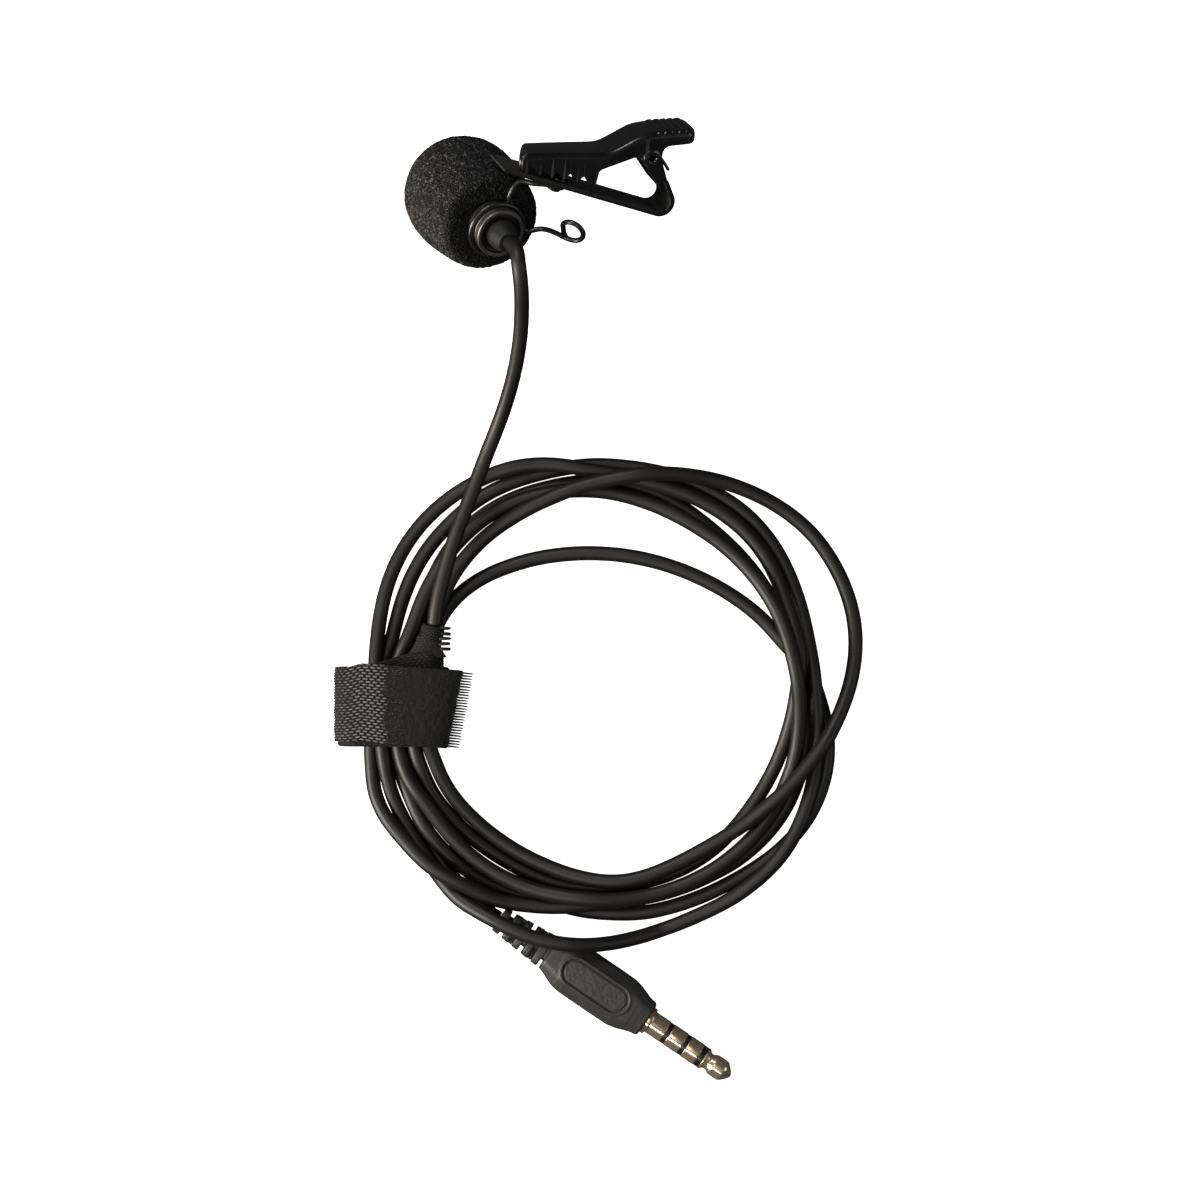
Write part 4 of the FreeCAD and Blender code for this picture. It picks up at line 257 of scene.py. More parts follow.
# Centre line of the holder's wire after the three points that end its small eye.
HOLDER = points("""
-5.38,54.5,15.18 -5.42,54.63,15.39 -5.43,54.75,15.61 -5.4,54.85,15.84 -5.33,54.94,16.06
-5.24,55.01,16.28 -5.11,55.06,16.49 -4.96,55.1,16.69 -4.79,55.1,16.87 -4.59,55.09,17.03
-4.38,55.05,17.16 -4.16,54.99,17.27 -3.94,54.91,17.34 -3.72,54.8,17.39 -3.5,54.68,17.4
-3.29,54.55,17.39 -3.1,54.4,17.34 -2.92,54.23,17.26 -2.77,54.06,17.16 -2.64,53.89,17.03
-2.55,53.72,16.88 -2.48,53.54,16.7 -2.45,53.38,16.52 -2.46,53.22,16.32 -2.49,53.08,16.12
-2.57,52.95,15.92 -2.67,52.83,15.72 -2.8,52.74,15.53 -2.96,52.67,15.36 -3.15,52.62,15.19
-3.35,52.59,15.05 -3.58,52.59,14.94 -3.81,52.61,14.85 -4.05,52.65,14.8 -4.29,52.71,14.77
-4.53,52.79,14.76 -4.77,52.88,14.76 -5,52.97,14.77 -5.22,53.08,14.8 -5.45,53.18,14.84
-5.67,53.29,14.89 -5.89,53.4,14.94 -6.11,53.5,15 -6.33,53.61,15.07 -6.55,53.7,15.14
-6.77,53.79,15.21 -6.99,53.88,15.29 -7.22,53.96,15.36 -7.45,54.03,15.43 -7.69,54.09,15.49
-7.93,54.14,15.54 -8.17,54.18,15.58 -8.42,54.2,15.6 -8.67,54.21,15.6 -8.92,54.2,15.58
-9.17,54.17,15.55 -9.41,54.13,15.52 -9.65,54.07,15.48 -9.89,54,15.46 -10.13,53.94,15.45
-10.38,53.9,15.47 -10.62,53.91,15.54 -10.84,53.97,15.64 -11.03,54.08,15.78 -11.16,54.23,15.93
-11.22,54.42,16.08 -11.25,54.62,16.23 -11.25,54.82,16.37 -11.26,55.03,16.51 -11.29,55.24,16.65
-11.33,55.44,16.79 -11.39,55.63,16.94 -11.46,55.82,17.09 -11.54,56,17.24 -11.64,56.18,17.4
-11.75,56.34,17.55 -11.87,56.49,17.71 -12,56.64,17.87 -12.14,56.77,18.02 -12.3,56.89,18.18
-12.46,57.01,18.33 -12.63,57.1,18.48 -12.82,57.19,18.63 -13.01,57.27,18.77 -13.21,57.33,18.91
-13.41,57.38,19.05 -13.62,57.41,19.18 -13.84,57.43,19.31 -14.06,57.44,19.42 -14.29,57.44,19.54
-14.51,57.42,19.64 -14.74,57.38,19.74 -14.97,57.34,19.83 -15.2,57.28,19.91 -15.43,57.21,19.98
-15.66,57.13,20.04 -15.88,57.03,20.09 -16.11,56.93,20.14 -16.33,56.81,20.17 -16.54,56.68,20.2
-16.75,56.54,20.21 -16.95,56.39,20.21 -17.14,56.23,20.21 -17.33,56.06,20.19 -17.51,55.89,20.16
-17.68,55.71,20.13 -17.83,55.52,20.08 -17.98,55.33,20.03 -18.12,55.12,19.96 -18.24,54.92,19.89
-18.36,54.71,19.8 -18.46,54.5,19.71 -18.55,54.29,19.61 -18.62,54.08,19.5 -18.68,53.87,19.38
-18.73,53.66,19.26 -18.77,53.44,19.12 -18.79,53.24,18.99 -18.79,53.03,18.84 -18.79,52.83,18.69
-18.76,52.63,18.54 -18.73,52.44,18.38 -18.68,52.26,18.22 -18.62,52.08,18.05 -18.54,51.91,17.89
-18.45,51.74,17.72 -18.35,51.59,17.55 -18.24,51.45,17.38 -18.12,51.31,17.2 -17.98,51.19,17.03
-17.83,51.08,16.86 -17.68,50.98,16.7 -17.51,50.89,16.53 -17.34,50.81,16.37 -17.15,50.75,16.21
-16.96,50.7,16.05 -16.76,50.66,15.9 -16.56,50.64,15.76 -16.35,50.63,15.62 -16.14,50.63,15.49
-15.92,50.65,15.36 -15.7,50.68,15.24 -15.48,50.72,15.13 -15.26,50.77,15.03 -15.04,50.84,14.94
-14.82,50.92,14.85 -14.6,51.02,14.77 -14.38,51.12,14.71 -14.17,51.24,14.65 -13.96,51.37,14.6
-13.75,51.51,14.56 -13.55,51.66,14.54 -13.36,51.82,14.52 -13.18,51.99,14.51 -13,52.17,14.51
-12.83,52.35,14.53 -12.67,52.55,14.55 -12.52,52.74,14.58 -12.38,52.95,14.62 -12.26,53.16,14.68
-12.14,53.37,14.74 -12.04,53.59,14.81 -11.95,53.81,14.88 -11.87,54.03,14.97 -11.8,54.25,15.07
-11.75,54.48,15.17 -11.71,54.7,15.28 -11.69,54.92,15.4 -11.68,55.13,15.52 -11.68,55.35,15.65
-11.7,55.56,15.79 -11.73,55.77,15.93 -11.77,55.97,16.07 -11.83,56.16,16.22 -11.9,56.35,16.37
-11.98,56.53,16.52 -12.08,56.7,16.68 -12.19,56.86,16.83 -12.32,57.01,16.99 -12.46,57.14,17.15
-12.61,57.27,17.31 -12.75,57.41,17.46 -12.88,57.57,17.6 -12.99,57.75,17.74 -13.09,57.94,17.87
-13.15,58.15,18 -13.19,58.36,18.12 -13.2,58.58,18.24 -13.16,58.8,18.36 -13.09,59.01,18.47
-13,59.22,18.57 -12.9,59.43,18.67 -12.78,59.63,18.76 -12.66,59.83,18.85 -12.53,60.03,18.93
-12.38,60.22,18.99 -12.21,60.4,19.04 -12.01,60.55,19.06 -11.79,60.67,19.07 -11.56,60.75,19.06
-11.31,60.8,19.05 -11.06,60.8,19.05 -10.81,60.77,19.04 -10.57,60.72,19.04 -10.32,60.66,19.04
-10.08,60.59,19.03 -9.84,60.54,19.02 -9.59,60.5,19 -9.34,60.48,18.96 -9.1,60.47,18.93
-8.85,60.46,18.88 -8.61,60.46,18.82 -8.36,60.45,18.76 -8.12,60.44,18.69 -7.89,60.42,18.61
-7.65,60.38,18.52 -7.42,60.34,18.43 -7.2,60.3,18.32 -6.98,60.25,18.22 -6.76,60.2,18.1
-6.55,60.15,17.98 -6.34,60.1,17.85 -6.13,60.06,17.71 -5.94,60.03,17.56 -5.76,60.02,17.38
-5.64,60.04,17.16 -5.57,60.09,16.93 -5.54,60.16,16.69 -5.57,60.26,16.46 -5.66,60.37,16.25
-5.79,60.48,16.07 -5.96,60.6,15.94 -6.17,60.72,15.85 -6.39,60.82,15.81 -6.62,60.91,15.83
-6.85,60.98,15.91 -7.06,61.02,16.03 -7.25,61.04,16.2 -7.39,61.04,16.4 -7.5,61,16.63
-7.55,60.94,16.86 -7.55,60.86,17.1 -7.49,60.76,17.32
""")

# Centre line of the clip's spring in the clip's own axes: along, up, side.
SPRING = points("""
24.9,2.21,-4.65 24.71,2.16,-4.65 24.52,2.1,-4.65 24.32,2.05,-4.65 24.13,1.99,-4.65
23.94,1.94,-4.65 23.74,1.88,-4.65 23.55,1.83,-4.65 23.36,1.77,-4.65 23.16,1.72,-4.65
22.97,1.66,-4.65 22.78,1.61,-4.65 22.59,1.55,-4.65 22.39,1.5,-4.65 22.2,1.44,-4.65
22.01,1.38,-4.65 21.82,1.32,-4.65 21.63,1.26,-4.65 21.43,1.21,-4.64 21.24,1.15,-4.64
21.05,1.09,-4.65 20.86,1.04,-4.65 20.66,1,-4.65 20.46,0.95,-4.66 20.27,0.91,-4.66
20.07,0.87,-4.67 19.88,0.83,-4.67 19.68,0.78,-4.68 19.49,0.73,-4.68 19.3,0.67,-4.68
19.11,0.6,-4.68 18.92,0.53,-4.67 18.75,0.43,-4.66 18.58,0.33,-4.64 18.42,0.21,-4.62
18.28,0.07,-4.59 18.16,-0.1,-4.57 18.08,-0.27,-4.54 18.02,-0.46,-4.52 17.98,-0.66,-4.5
17.98,-0.86,-4.47 18.01,-1.06,-4.45 18.07,-1.25,-4.43 18.16,-1.43,-4.41 18.27,-1.59,-4.38
18.4,-1.74,-4.36 18.56,-1.86,-4.34 18.73,-1.96,-4.31 18.91,-2.03,-4.29 19.11,-2.08,-4.27
19.31,-2.09,-4.24 19.51,-2.07,-4.22 19.7,-2.03,-4.2 19.89,-1.95,-4.17 20.06,-1.85,-4.15
20.21,-1.73,-4.13 20.34,-1.58,-4.11 20.45,-1.41,-4.08 20.54,-1.23,-4.06 20.59,-1.04,-4.04
20.62,-0.84,-4.01 20.61,-0.65,-3.99 20.58,-0.45,-3.97 20.52,-0.26,-3.94 20.43,-0.08,-3.92
20.31,0.08,-3.9 20.17,0.22,-3.87 20.01,0.34,-3.85 19.84,0.43,-3.83 19.65,0.5,-3.81
19.45,0.54,-3.78 19.26,0.55,-3.76 19.06,0.53,-3.73 18.87,0.48,-3.71 18.68,0.4,-3.69
18.52,0.29,-3.67 18.36,0.16,-3.64 18.23,0.01,-3.62 18.13,-0.16,-3.6 18.05,-0.34,-3.57
18,-0.53,-3.55 17.98,-0.73,-3.53 17.99,-0.93,-3.5 18.03,-1.13,-3.48 18.1,-1.31,-3.46
18.19,-1.49,-3.44 18.31,-1.65,-3.41 18.45,-1.78,-3.39 18.62,-1.9,-3.37 18.8,-1.99,-3.34
18.98,-2.05,-3.32 19.18,-2.08,-3.3 19.38,-2.09,-3.27 19.58,-2.06,-3.25 19.77,-2,-3.23
19.95,-1.92,-3.2 20.11,-1.81,-3.18 20.26,-1.68,-3.16 20.39,-1.52,-3.13 20.49,-1.35,-3.11
20.56,-1.17,-3.09 20.61,-0.97,-3.07 20.62,-0.77,-3.04 20.61,-0.57,-3.02 20.56,-0.38,-3
20.49,-0.2,-2.97 20.39,-0.02,-2.95 20.26,0.13,-2.93 20.12,0.27,-2.9 19.95,0.38,-2.88
19.77,0.46,-2.86 19.58,0.52,-2.83 19.38,0.55,-2.81 19.18,0.55,-2.79 18.99,0.51,-2.77
18.8,0.45,-2.74 18.62,0.36,-2.72 18.46,0.25,-2.7 18.32,0.11,-2.67 18.2,-0.05,-2.65
18.1,-0.22,-2.63 18.03,-0.41,-2.6 17.99,-0.6,-2.58 17.98,-0.8,-2.56 18,-1,-2.54
18.05,-1.19,-2.51 18.13,-1.38,-2.49 18.23,-1.55,-2.47 18.36,-1.7,-2.44 18.51,-1.83,-2.42
18.68,-1.94,-2.4 18.86,-2.02,-2.37 19.05,-2.07,-2.35 19.25,-2.09,-2.33 19.45,-2.08,-2.3
19.65,-2.04,-2.28 19.83,-1.98,-2.26 20.01,-1.88,-2.23 20.17,-1.76,-2.21 20.31,-1.62,-2.19
20.42,-1.46,-2.17 20.52,-1.28,-2.14 20.58,-1.1,-2.12 20.61,-0.9,-2.1 20.62,-0.7,-2.07
20.59,-0.5,-2.05 20.54,-0.31,-2.03 20.45,-0.13,-2 20.35,0.04,-1.98 20.21,0.18,-1.96
20.06,0.31,-1.94 19.89,0.41,-1.91 19.7,0.49,-1.89 19.51,0.53,-1.86 19.31,0.55,-1.84
19.11,0.54,-1.82 18.92,0.49,-1.8 18.73,0.42,-1.77 18.56,0.32,-1.75
""")

# Centre line of the strap's neck, a short sleeve round the lead.
NECK = points("""
-24.62,-3.75,7.95 -24.85,-4.9,7.82 -24.95,-5.2,7.78 -25.05,-5.5,7.73 -25.14,-5.81,7.69
-25.23,-6.11,7.64 -25.32,-6.41,7.6 -25.41,-6.72,7.55 -25.5,-7.02,7.5
""")


# --------------------------------------------------------------------------- places and axes
def unit(vector):
    vector = np.array(vector, float)
    return vector / np.linalg.norm(vector)


SHIFT = np.array([-0.06, 0.245, 0.0])  # from the layout to the row frame, mm
UP = np.array([0.0, 0.0, 1.0])

# A frame is an origin and three axes.
HEAD_CENTRE = np.array([-20.1, 59.78, 8.7])
HEAD_AXIS = unit([0.430, -0.495, 0.755])  # from the foam's dome to the strain relief
HEAD_X = unit([0.7547, 0.656, 0.0])
HEAD = (HEAD_CENTRE, HEAD_X, np.cross(HEAD_AXIS, HEAD_X), HEAD_AXIS)

CLIP_ORIGIN = np.array([-10.5, 63.94, 23.9])
CLIP_ALONG = unit([0.9403, 0.0623, -0.334])  # from the nose to the finger pad
CLIP_SIDE = unit(np.cross(CLIP_ALONG, [0.0899, 0.9023, 0.422]))
CLIP_UP = np.cross(CLIP_SIDE, CLIP_ALONG)
CLIP = (CLIP_ORIGIN, CLIP_ALONG, CLIP_UP, CLIP_SIDE)

PLUG_AXIS = unit([0.827, -0.562, 0.0])  # from the boot to the tip
PLUG_SIDE = np.cross([0, 0, 1], PLUG_AXIS)
PLUG_ORIGIN = np.array([7.01, -62.6, 3.0])  # where the handle meets the contacts
PLUG = (PLUG_ORIGIN, PLUG_AXIS, PLUG_SIDE, UP)
BOOT_END = np.array([-15.1685, -47.5303, 3.0])
HANDLE_BACK = 17.6  # from the plug's origin to where the boot starts

rng = np.random.RandomState(7)


def to_row(layout):
    """Layout millimetres to row metres."""
    return (np.asarray(layout, float) + SHIFT) * 1e-3


def in_frame(local, origin, x_axis, y_axis, z_axis):
    """Places coordinates of a piece's own frame in the layout."""
    local = np.asarray(local, float)
    return origin + local[..., 0:1] * x_axis + local[..., 1:2] * y_axis + local[..., 2:3] * z_axis


# --------------------------------------------------------------------------------- mesh helpers
def add_mesh(name, verts, faces, smooth=True, uvs=None, attribute=None):
    """Mesh object from layout points; uvs and the (name, values) attribute are per vertex."""
    mesh = bpy.data.meshes.new(name)
    mesh.from_pydata(to_row(verts).tolist(), [], faces)
    if smooth:
        mesh.polygons.foreach_set("use_smooth", [True] * len(mesh.polygons))
    if attribute:
        layer = mesh.attributes.new(attribute[0], "FLOAT", "POINT")
        layer.data.foreach_set("value", np.asarray(attribute[1], np.float32))
    if uvs is not None:
        layer = mesh.uv_layers.new(name="UVMap")
        corner_verts = np.zeros(len(mesh.loops), np.int32)
        mesh.loops.foreach_get("vertex_index", corner_verts)
        layer.data.foreach_set("uv", np.asarray(uvs, np.float32)[corner_verts].ravel())
    mesh.update()
    obj = bpy.data.objects.new(name, mesh)
    bpy.context.collection.objects.link(obj)
    return obj


def register(obj, material, ride=None, replaces=()):
    obj.data.materials.clear()
    obj.data.materials.append(material)
    if ride:
        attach(obj, ride)
    if replaces:
        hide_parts(*replaces)
    return obj


def grid_faces(rows, columns, wrap_rows=False, first=0):
    """Quads of a grid of vertices, rows first, whose columns close into rings."""
    i, j = np.meshgrid(np.arange(rows if wrap_rows else rows - 1), np.arange(columns),
                       indexing="ij")
    next_row, next_column = (i + 1) % rows * columns, (j + 1) % columns
    corners = [i * columns + j, i * columns + next_column, next_row + next_column, next_row + j]
    return (np.stack(corners, -1).reshape(-1, 4) + first).tolist()


def capped_grid(rows, columns, first=0):
    """Rings of quads with a polygon over each end."""
    last = first + (rows - 1) * columns
    caps = [list(range(first, first + columns))[::-1], list(range(last, last + columns))]
    return grid_faces(rows, columns, first=first) + caps


def arc_lengths(line):
    return np.r_[0, np.cumsum(np.linalg.norm(np.diff(line, axis=0), axis=1))]


def ring_angles(count):
    return np.linspace(0, 2 * np.pi, count, endpoint=False)


def ring_uvs(angles, lengths):
    """U runs once round each ring; V grows by one every 10 mm along the body."""
    shape = (len(lengths), len(angles))
    around = np.broadcast_to(angles / (2 * np.pi), shape)
    along = np.broadcast_to(lengths[:, None] * 0.1, shape)
    return np.stack([around, along], -1).reshape(-1, 2)


def catmull(knots, step):
    """Catmull-Rom curve through the knots, cut into pieces no longer than about step."""
    knots = np.asarray(knots, float)
    padded = np.vstack([2 * knots[0] - knots[1], knots, 2 * knots[-1] - knots[-2]])
    curve = []
    for p0, p1, p2, p3 in zip(padded, padded[1:], padded[2:], padded[3:]):
        count = max(1, int(math.ceil(np.linalg.norm(p2 - p1) / step)))
        for k in range(count):
            t = k / count
            curve.append(0.5 * (2 * p1 + (p2 - p0) * t + (2 * p0 - 5 * p1 + 4 * p2 - p3) * t * t
                                + (3 * p1 - p0 - 3 * p2 + p3) * t ** 3))
    curve.append(padded[-2])
    return np.array(curve)


def resample(line, step):
    """Evenly spaced points along a polyline, with their distances from its start."""
    line = np.asarray(line, float)
    lengths = arc_lengths(line)
    spaced = np.linspace(0, lengths[-1], max(2, int(lengths[-1] / step)))
    columns = [np.interp(spaced, lengths, line[:, k]) for k in range(line.shape[1])]
    return np.stack(columns, -1), spaced


def cross_rings(line, count):
    """Tangents, ring angles and unit rings, carried along a line without twist."""
    tangents = np.gradient(line, axis=0)
    tangents /= np.linalg.norm(tangents, axis=1)[:, None]
    normals = np.zeros_like(tangents)
    carried = np.array([0, 0, 1] if abs(tangents[0][2]) < 0.9 else [1, 0, 0], float)
    for i, tangent in enumerate(tangents):
        flat = carried - tangent * carried.dot(tangent)
        carried = normals[i] = flat / np.linalg.norm(flat)
    binormals = np.cross(tangents, normals)
    angles = ring_angles(count)
    rings = (np.cos(angles)[None, :, None] * normals[:, None, :]
             + np.sin(angles)[None, :, None] * binormals[:, None, :])
    return tangents, angles, rings


def tube(name, line, radius, segments=20, round_ends=0.0):
    """Round tube along a line; round_ends domes the ends by that share of the radius."""
    line = np.asarray(line, float)
    radii = np.full(len(line), radius)
    tangents, angles, rings = cross_rings(line, segments)
    body = line[:, None, :] + rings * radii[:, None, None]

    def dome(end, outward):
        reach = outward * tangents[end] * radii[end] * round_ends
        tilts = [math.radians(90 * k / 3.6) for k in (1, 2, 3)]
        return [line[end] + reach * math.sin(tilt) + rings[end] * radii[end] * math.cos(tilt)
                for tilt in tilts]

    if round_ends > 0:
        body = np.concatenate([dome(0, -1)[::-1], body, dome(-1, 1)], 0)
    return add_mesh(name, body.reshape(-1, 3), capped_grid(len(body), segments),
                    uvs=ring_uvs(angles, arc_lengths(body.mean(1))))


def rounded(profile, radius, steps=4):
    """Rounds a profile's corners; a point may carry its own radius as a third value."""
    corners = [np.array(point[:2], float) for point in profile]
    radii = [point[2] if len(point) > 2 else radius for point in profile]
    outline = [corners[0]]
    for i in range(1, len(corners) - 1):
        corner = corners[i]
        back, ahead = corners[i - 1] - corner, corners[i + 1] - corner
        back_length, ahead_length = np.linalg.norm(back), np.linalg.norm(ahead)
        if back_length < 1e-6 or ahead_length < 1e-6:
            continue
        back, ahead = back / back_length, ahead / ahead_length
        angle = math.acos(max(-1, min(1, float(back.dot(ahead)))))
        if angle > math.pi - 0.12 or radii[i] <= 0:
            outline.append(corner)
            continue
        cut = min(radii[i] / math.tan(angle / 2), 0.45 * back_length, 0.45 * ahead_length)
        outline += corner_curve(corner + back * cut, corner, corner + ahead * cut, steps)
    outline.append(corners[-1])
    return np.array(outline)


def corner_curve(start, corner, end, steps):
    """Quadratic curve that rounds one corner."""
    shares = [k / steps for k in range(steps + 1)]
    return [(1 - s) ** 2 * start + 2 * s * (1 - s) * corner + s * s * end for s in shares]


def lathe(name, profile, axes, segments, radius, closed=False):
    """Turns (radius, height) points about the frame's third axis; closed joins both ends."""
    origin, x_axis, y_axis, axis = axes
    outline = rounded(profile, radius)
    angles = ring_angles(segments)
    around = np.cos(angles)[None, :, None] * x_axis + np.sin(angles)[None, :, None] * y_axis
    radii = np.maximum(outline[:, 0], 0.0)
    verts = origin + radii[:, None, None] * around + outline[:, 1][:, None, None] * axis
    rows = len(outline)
    faces = grid_faces(rows, segments, wrap_rows=True) if closed else capped_grid(rows, segments)
    obj = add_mesh(name, verts.reshape(-1, 3), faces, uvs=ring_uvs(angles, arc_lengths(outline)))
    clean_mesh(obj)
    return obj


def clean_mesh(obj, merge_distance=2e-7, flat_angle=None):
    """Merges doubled points, dissolves flat edges if asked, and turns the faces outward."""
    bm = bmesh.new()
    bm.from_mesh(obj.data)
    bmesh.ops.remove_doubles(bm, verts=bm.verts, dist=merge_distance)
    if flat_angle:
        bmesh.ops.dissolve_limit(bm, angle_limit=flat_angle, verts=bm.verts, edges=bm.edges)
    bmesh.ops.recalc_face_normals(bm, faces=bm.faces)
    bm.to_mesh(obj.data)
    bm.free()


def apply_modifiers(obj):
    bpy.context.view_layer.update()
    depsgraph = bpy.context.evaluated_depsgraph_get()
    mesh = bpy.data.meshes.new_from_object(obj.evaluated_get(depsgraph))
    obj.modifiers.clear()
    old = obj.data
    obj.data = mesh
    bpy.data.meshes.remove(old)


def bevel(obj, width, segments, angle):
    """Rounds edges sharper than angle (degrees), then evens the shading."""
    modifier = obj.modifiers.new("edge_round", "BEVEL")
    modifier.width = width * 1e-3
    modifier.segments = segments
    modifier.limit_method = "ANGLE"
    modifier.angle_limit = math.radians(angle)
    modifier.miter_outer = "MITER_ARC"
    modifier.harden_normals = False
    apply_modifiers(obj)
    obj.data.polygons.foreach_set("use_smooth", [True] * len(obj.data.polygons))
    modifier = obj.modifiers.new("even_normals", "WEIGHTED_NORMAL")
    modifier.keep_sharp = False
    apply_modifiers(obj)


# ---------------------------------------------------------------------------------------- noise
def clamp(values):
    return np.clip(values, 0, 1)


def smoothstep(t):
    return t * t * (3 - 2 * t)


def cell_hash(cells, seed):
    """Pseudo-random value in 0..1 for each whole-numbered cell."""
    dot = cells[..., 0] * 127.1 + cells[..., 1] * 311.7 + cells[..., 2] * 74.7
    value = np.sin(dot + seed * 53.3) * 43758.5453
    return value - np.floor(value)


def worley(places, cell):
    """Distances, in cells, to the nearest and second nearest of jittered points."""
    scaled = places / cell
    base = np.floor(scaled)
    nearest = np.full(len(places), 9.0)
    second = np.full(len(places), 9.0)
    for x in (-1, 0, 1):
        for y in (-1, 0, 1):
            for z in (-1, 0, 1):
                cells = base + np.array([x, y, z])
                jitter = np.stack([cell_hash(cells, seed) for seed in (1, 2, 3)], -1) - 0.5
                distance = np.linalg.norm(scaled - (cells + 0.5 + 0.78 * jitter), axis=1)
                closer = distance < nearest
                second = np.where(closer, nearest, np.minimum(second, distance))
                nearest = np.where(closer, distance, nearest)
    return nearest, second


def value_noise(places, cell, seed):
    """Smooth noise in -1..1."""
    scaled = places / cell
    base = np.floor(scaled)
    high = smoothstep(scaled - base)
    low = 1 - high
    total = np.zeros(len(places))
    for x in (0, 1):
        for y in (0, 1):
            for z in (0, 1):
                weight = ((high if x else low)[:, 0] * (high if y else low)[:, 1]
                          * (high if z else low)[:, 2])
                total += weight * cell_hash(base + np.array([x, y, z]), 11 + seed)
    return total * 2 - 1


# ------------------------------------------------------------------------------------ materials
def connect(tree, node, inputs):
    """Links or sets each input, by whether it is given a socket or a value."""
    for key, value in inputs.items():
        if isinstance(value, bpy.types.NodeSocket):
            tree.links.new(value, node.inputs[key])
        else:
            node.inputs[key].default_value = value


def add_node(tree, kind, inputs={}, **settings):
    node = tree.nodes.new("ShaderNode" + kind)
    for key, value in settings.items():
        setattr(node, key, value)
    connect(tree, node, inputs)
    return node


def math_node(tree, operation, *values):
    return add_node(tree, "Math", dict(enumerate(values)), operation=operation).outputs[0]


def color_ramp(tree, factor, positions, colors):
    ramp = add_node(tree, "ValToRGB", {"Fac": factor})
    for element, position, color in zip(ramp.color_ramp.elements, positions, colors):
        element.position = position
        element.color = (*color, 1)
    return ramp.outputs["Color"]


def grain_bump(tree, height, grain):
    return add_node(tree, "Bump", {
        "Strength": grain[1], "Distance": grain[0] * 1e-3 * 0.3, "Height": height,
    }).outputs["Normal"]


def new_material(name):
    material = bpy.data.materials.new(name)
    material.use_nodes = True
    tree = material.node_tree
    return material, tree, tree.nodes["Principled BSDF"]


def finish(name, color, rough, metal=0.0, grain=(0.25, 0.15), blotch=(4.0, 0.25), specular=0.5,
           rough_spread=0.12, coat=0.0, uv_scale=None, sheen=0.0, wear=None):
    """Finish with fine bumps and a slow drift of colour and roughness.

    grain is (size in mm, bump strength), blotch is (size in mm, share of colour change),
    uv_scale stretches the grain over the UV map, and wear is (edge colour, where it starts
    and where it is full, as pointiness).
    """
    material, tree, surface = new_material(name)
    coords = add_node(tree, "TexCoord").outputs
    grain_vector, grain_scale = coords["Object"], 1000.0 / grain[0]
    if uv_scale:
        mapping = add_node(tree, "Mapping", {"Scale": uv_scale, "Vector": coords["UV"]})
        grain_vector, grain_scale = mapping.outputs["Vector"], 1.0
    slow = add_node(tree, "TexNoise", {
        "Vector": coords["Object"], "Scale": 1000.0 / blotch[0], "Detail": 5,
    }).outputs["Fac"]
    fine = add_node(tree, "TexNoise", {
        "Vector": grain_vector, "Scale": grain_scale, "Detail": 4, "Roughness": 0.65,
    }).outputs["Fac"]
    dark = [max(0, c * (1 - blotch[1])) for c in color]
    pale = [min(1, c * (1 + blotch[1])) for c in color]
    base = color_ramp(tree, slow, (0.3, 0.7), (dark, pale))
    if wear:
        edge_color, start, full = wear
        pointiness = add_node(tree, "NewGeometry").outputs["Pointiness"]
        worn = color_ramp(tree, pointiness, (start, full), ((0, 0, 0), (1, 1, 1)))
        base = add_node(tree, "Mix", {"Factor": worn, "A": base, "B": (*edge_color, 1)},
                        data_type="RGBA").outputs["Result"]
    half_slow = math_node(tree, "MULTIPLY", slow, 0.5)
    roughness = add_node(tree, "MapRange", {
        "From Min": 0.25, "From Max": 0.75,
        "To Min": max(0.02, rough - rough_spread), "To Max": min(1, rough + rough_spread),
        "Value": math_node(tree, "MULTIPLY_ADD", fine, 0.5, half_slow),
    })
    connect(tree, surface, {
        "Base Color": base, "Roughness": roughness.outputs["Result"],
        "Normal": grain_bump(tree, fine, grain),
        "Metallic": metal, "Specular IOR Level": specular,
        "Coat Weight": coat, "Coat Roughness": 0.12,
    })
    if sheen:
        connect(tree, surface, {"Sheen Weight": sheen, "Sheen Roughness": 0.4})
    return material


def attribute_finish(name, attribute, colors, positions, rough, specular, grain):
    """Colour and roughness led by a vertex attribute, with fine noise over it."""
    material, tree, surface = new_material(name)
    value = add_node(tree, "Attribute", attribute_name=attribute).outputs["Fac"]
    coords = add_node(tree, "TexCoord").outputs
    noise = add_node(tree, "TexNoise", {
        "Vector": coords["Object"], "Scale": 1000.0 / grain[0], "Detail": 4,
    }).outputs["Fac"]
    # the noise is centred by taking off half of its weight
    noisy = math_node(tree, "MULTIPLY_ADD", noise, 0.35, value)
    centred = math_node(tree, "SUBTRACT", noisy, 0.175)
    roughness = add_node(tree, "MapRange", {
        "To Min": rough[0], "To Max": rough[1], "Value": value})
    connect(tree, surface, {
        "Base Color": color_ramp(tree, centred, positions, colors),
        "Roughness": roughness.outputs["Result"],
        "Normal": grain_bump(tree, noise, grain),
        "Specular IOR Level": specular,
    })
    return material


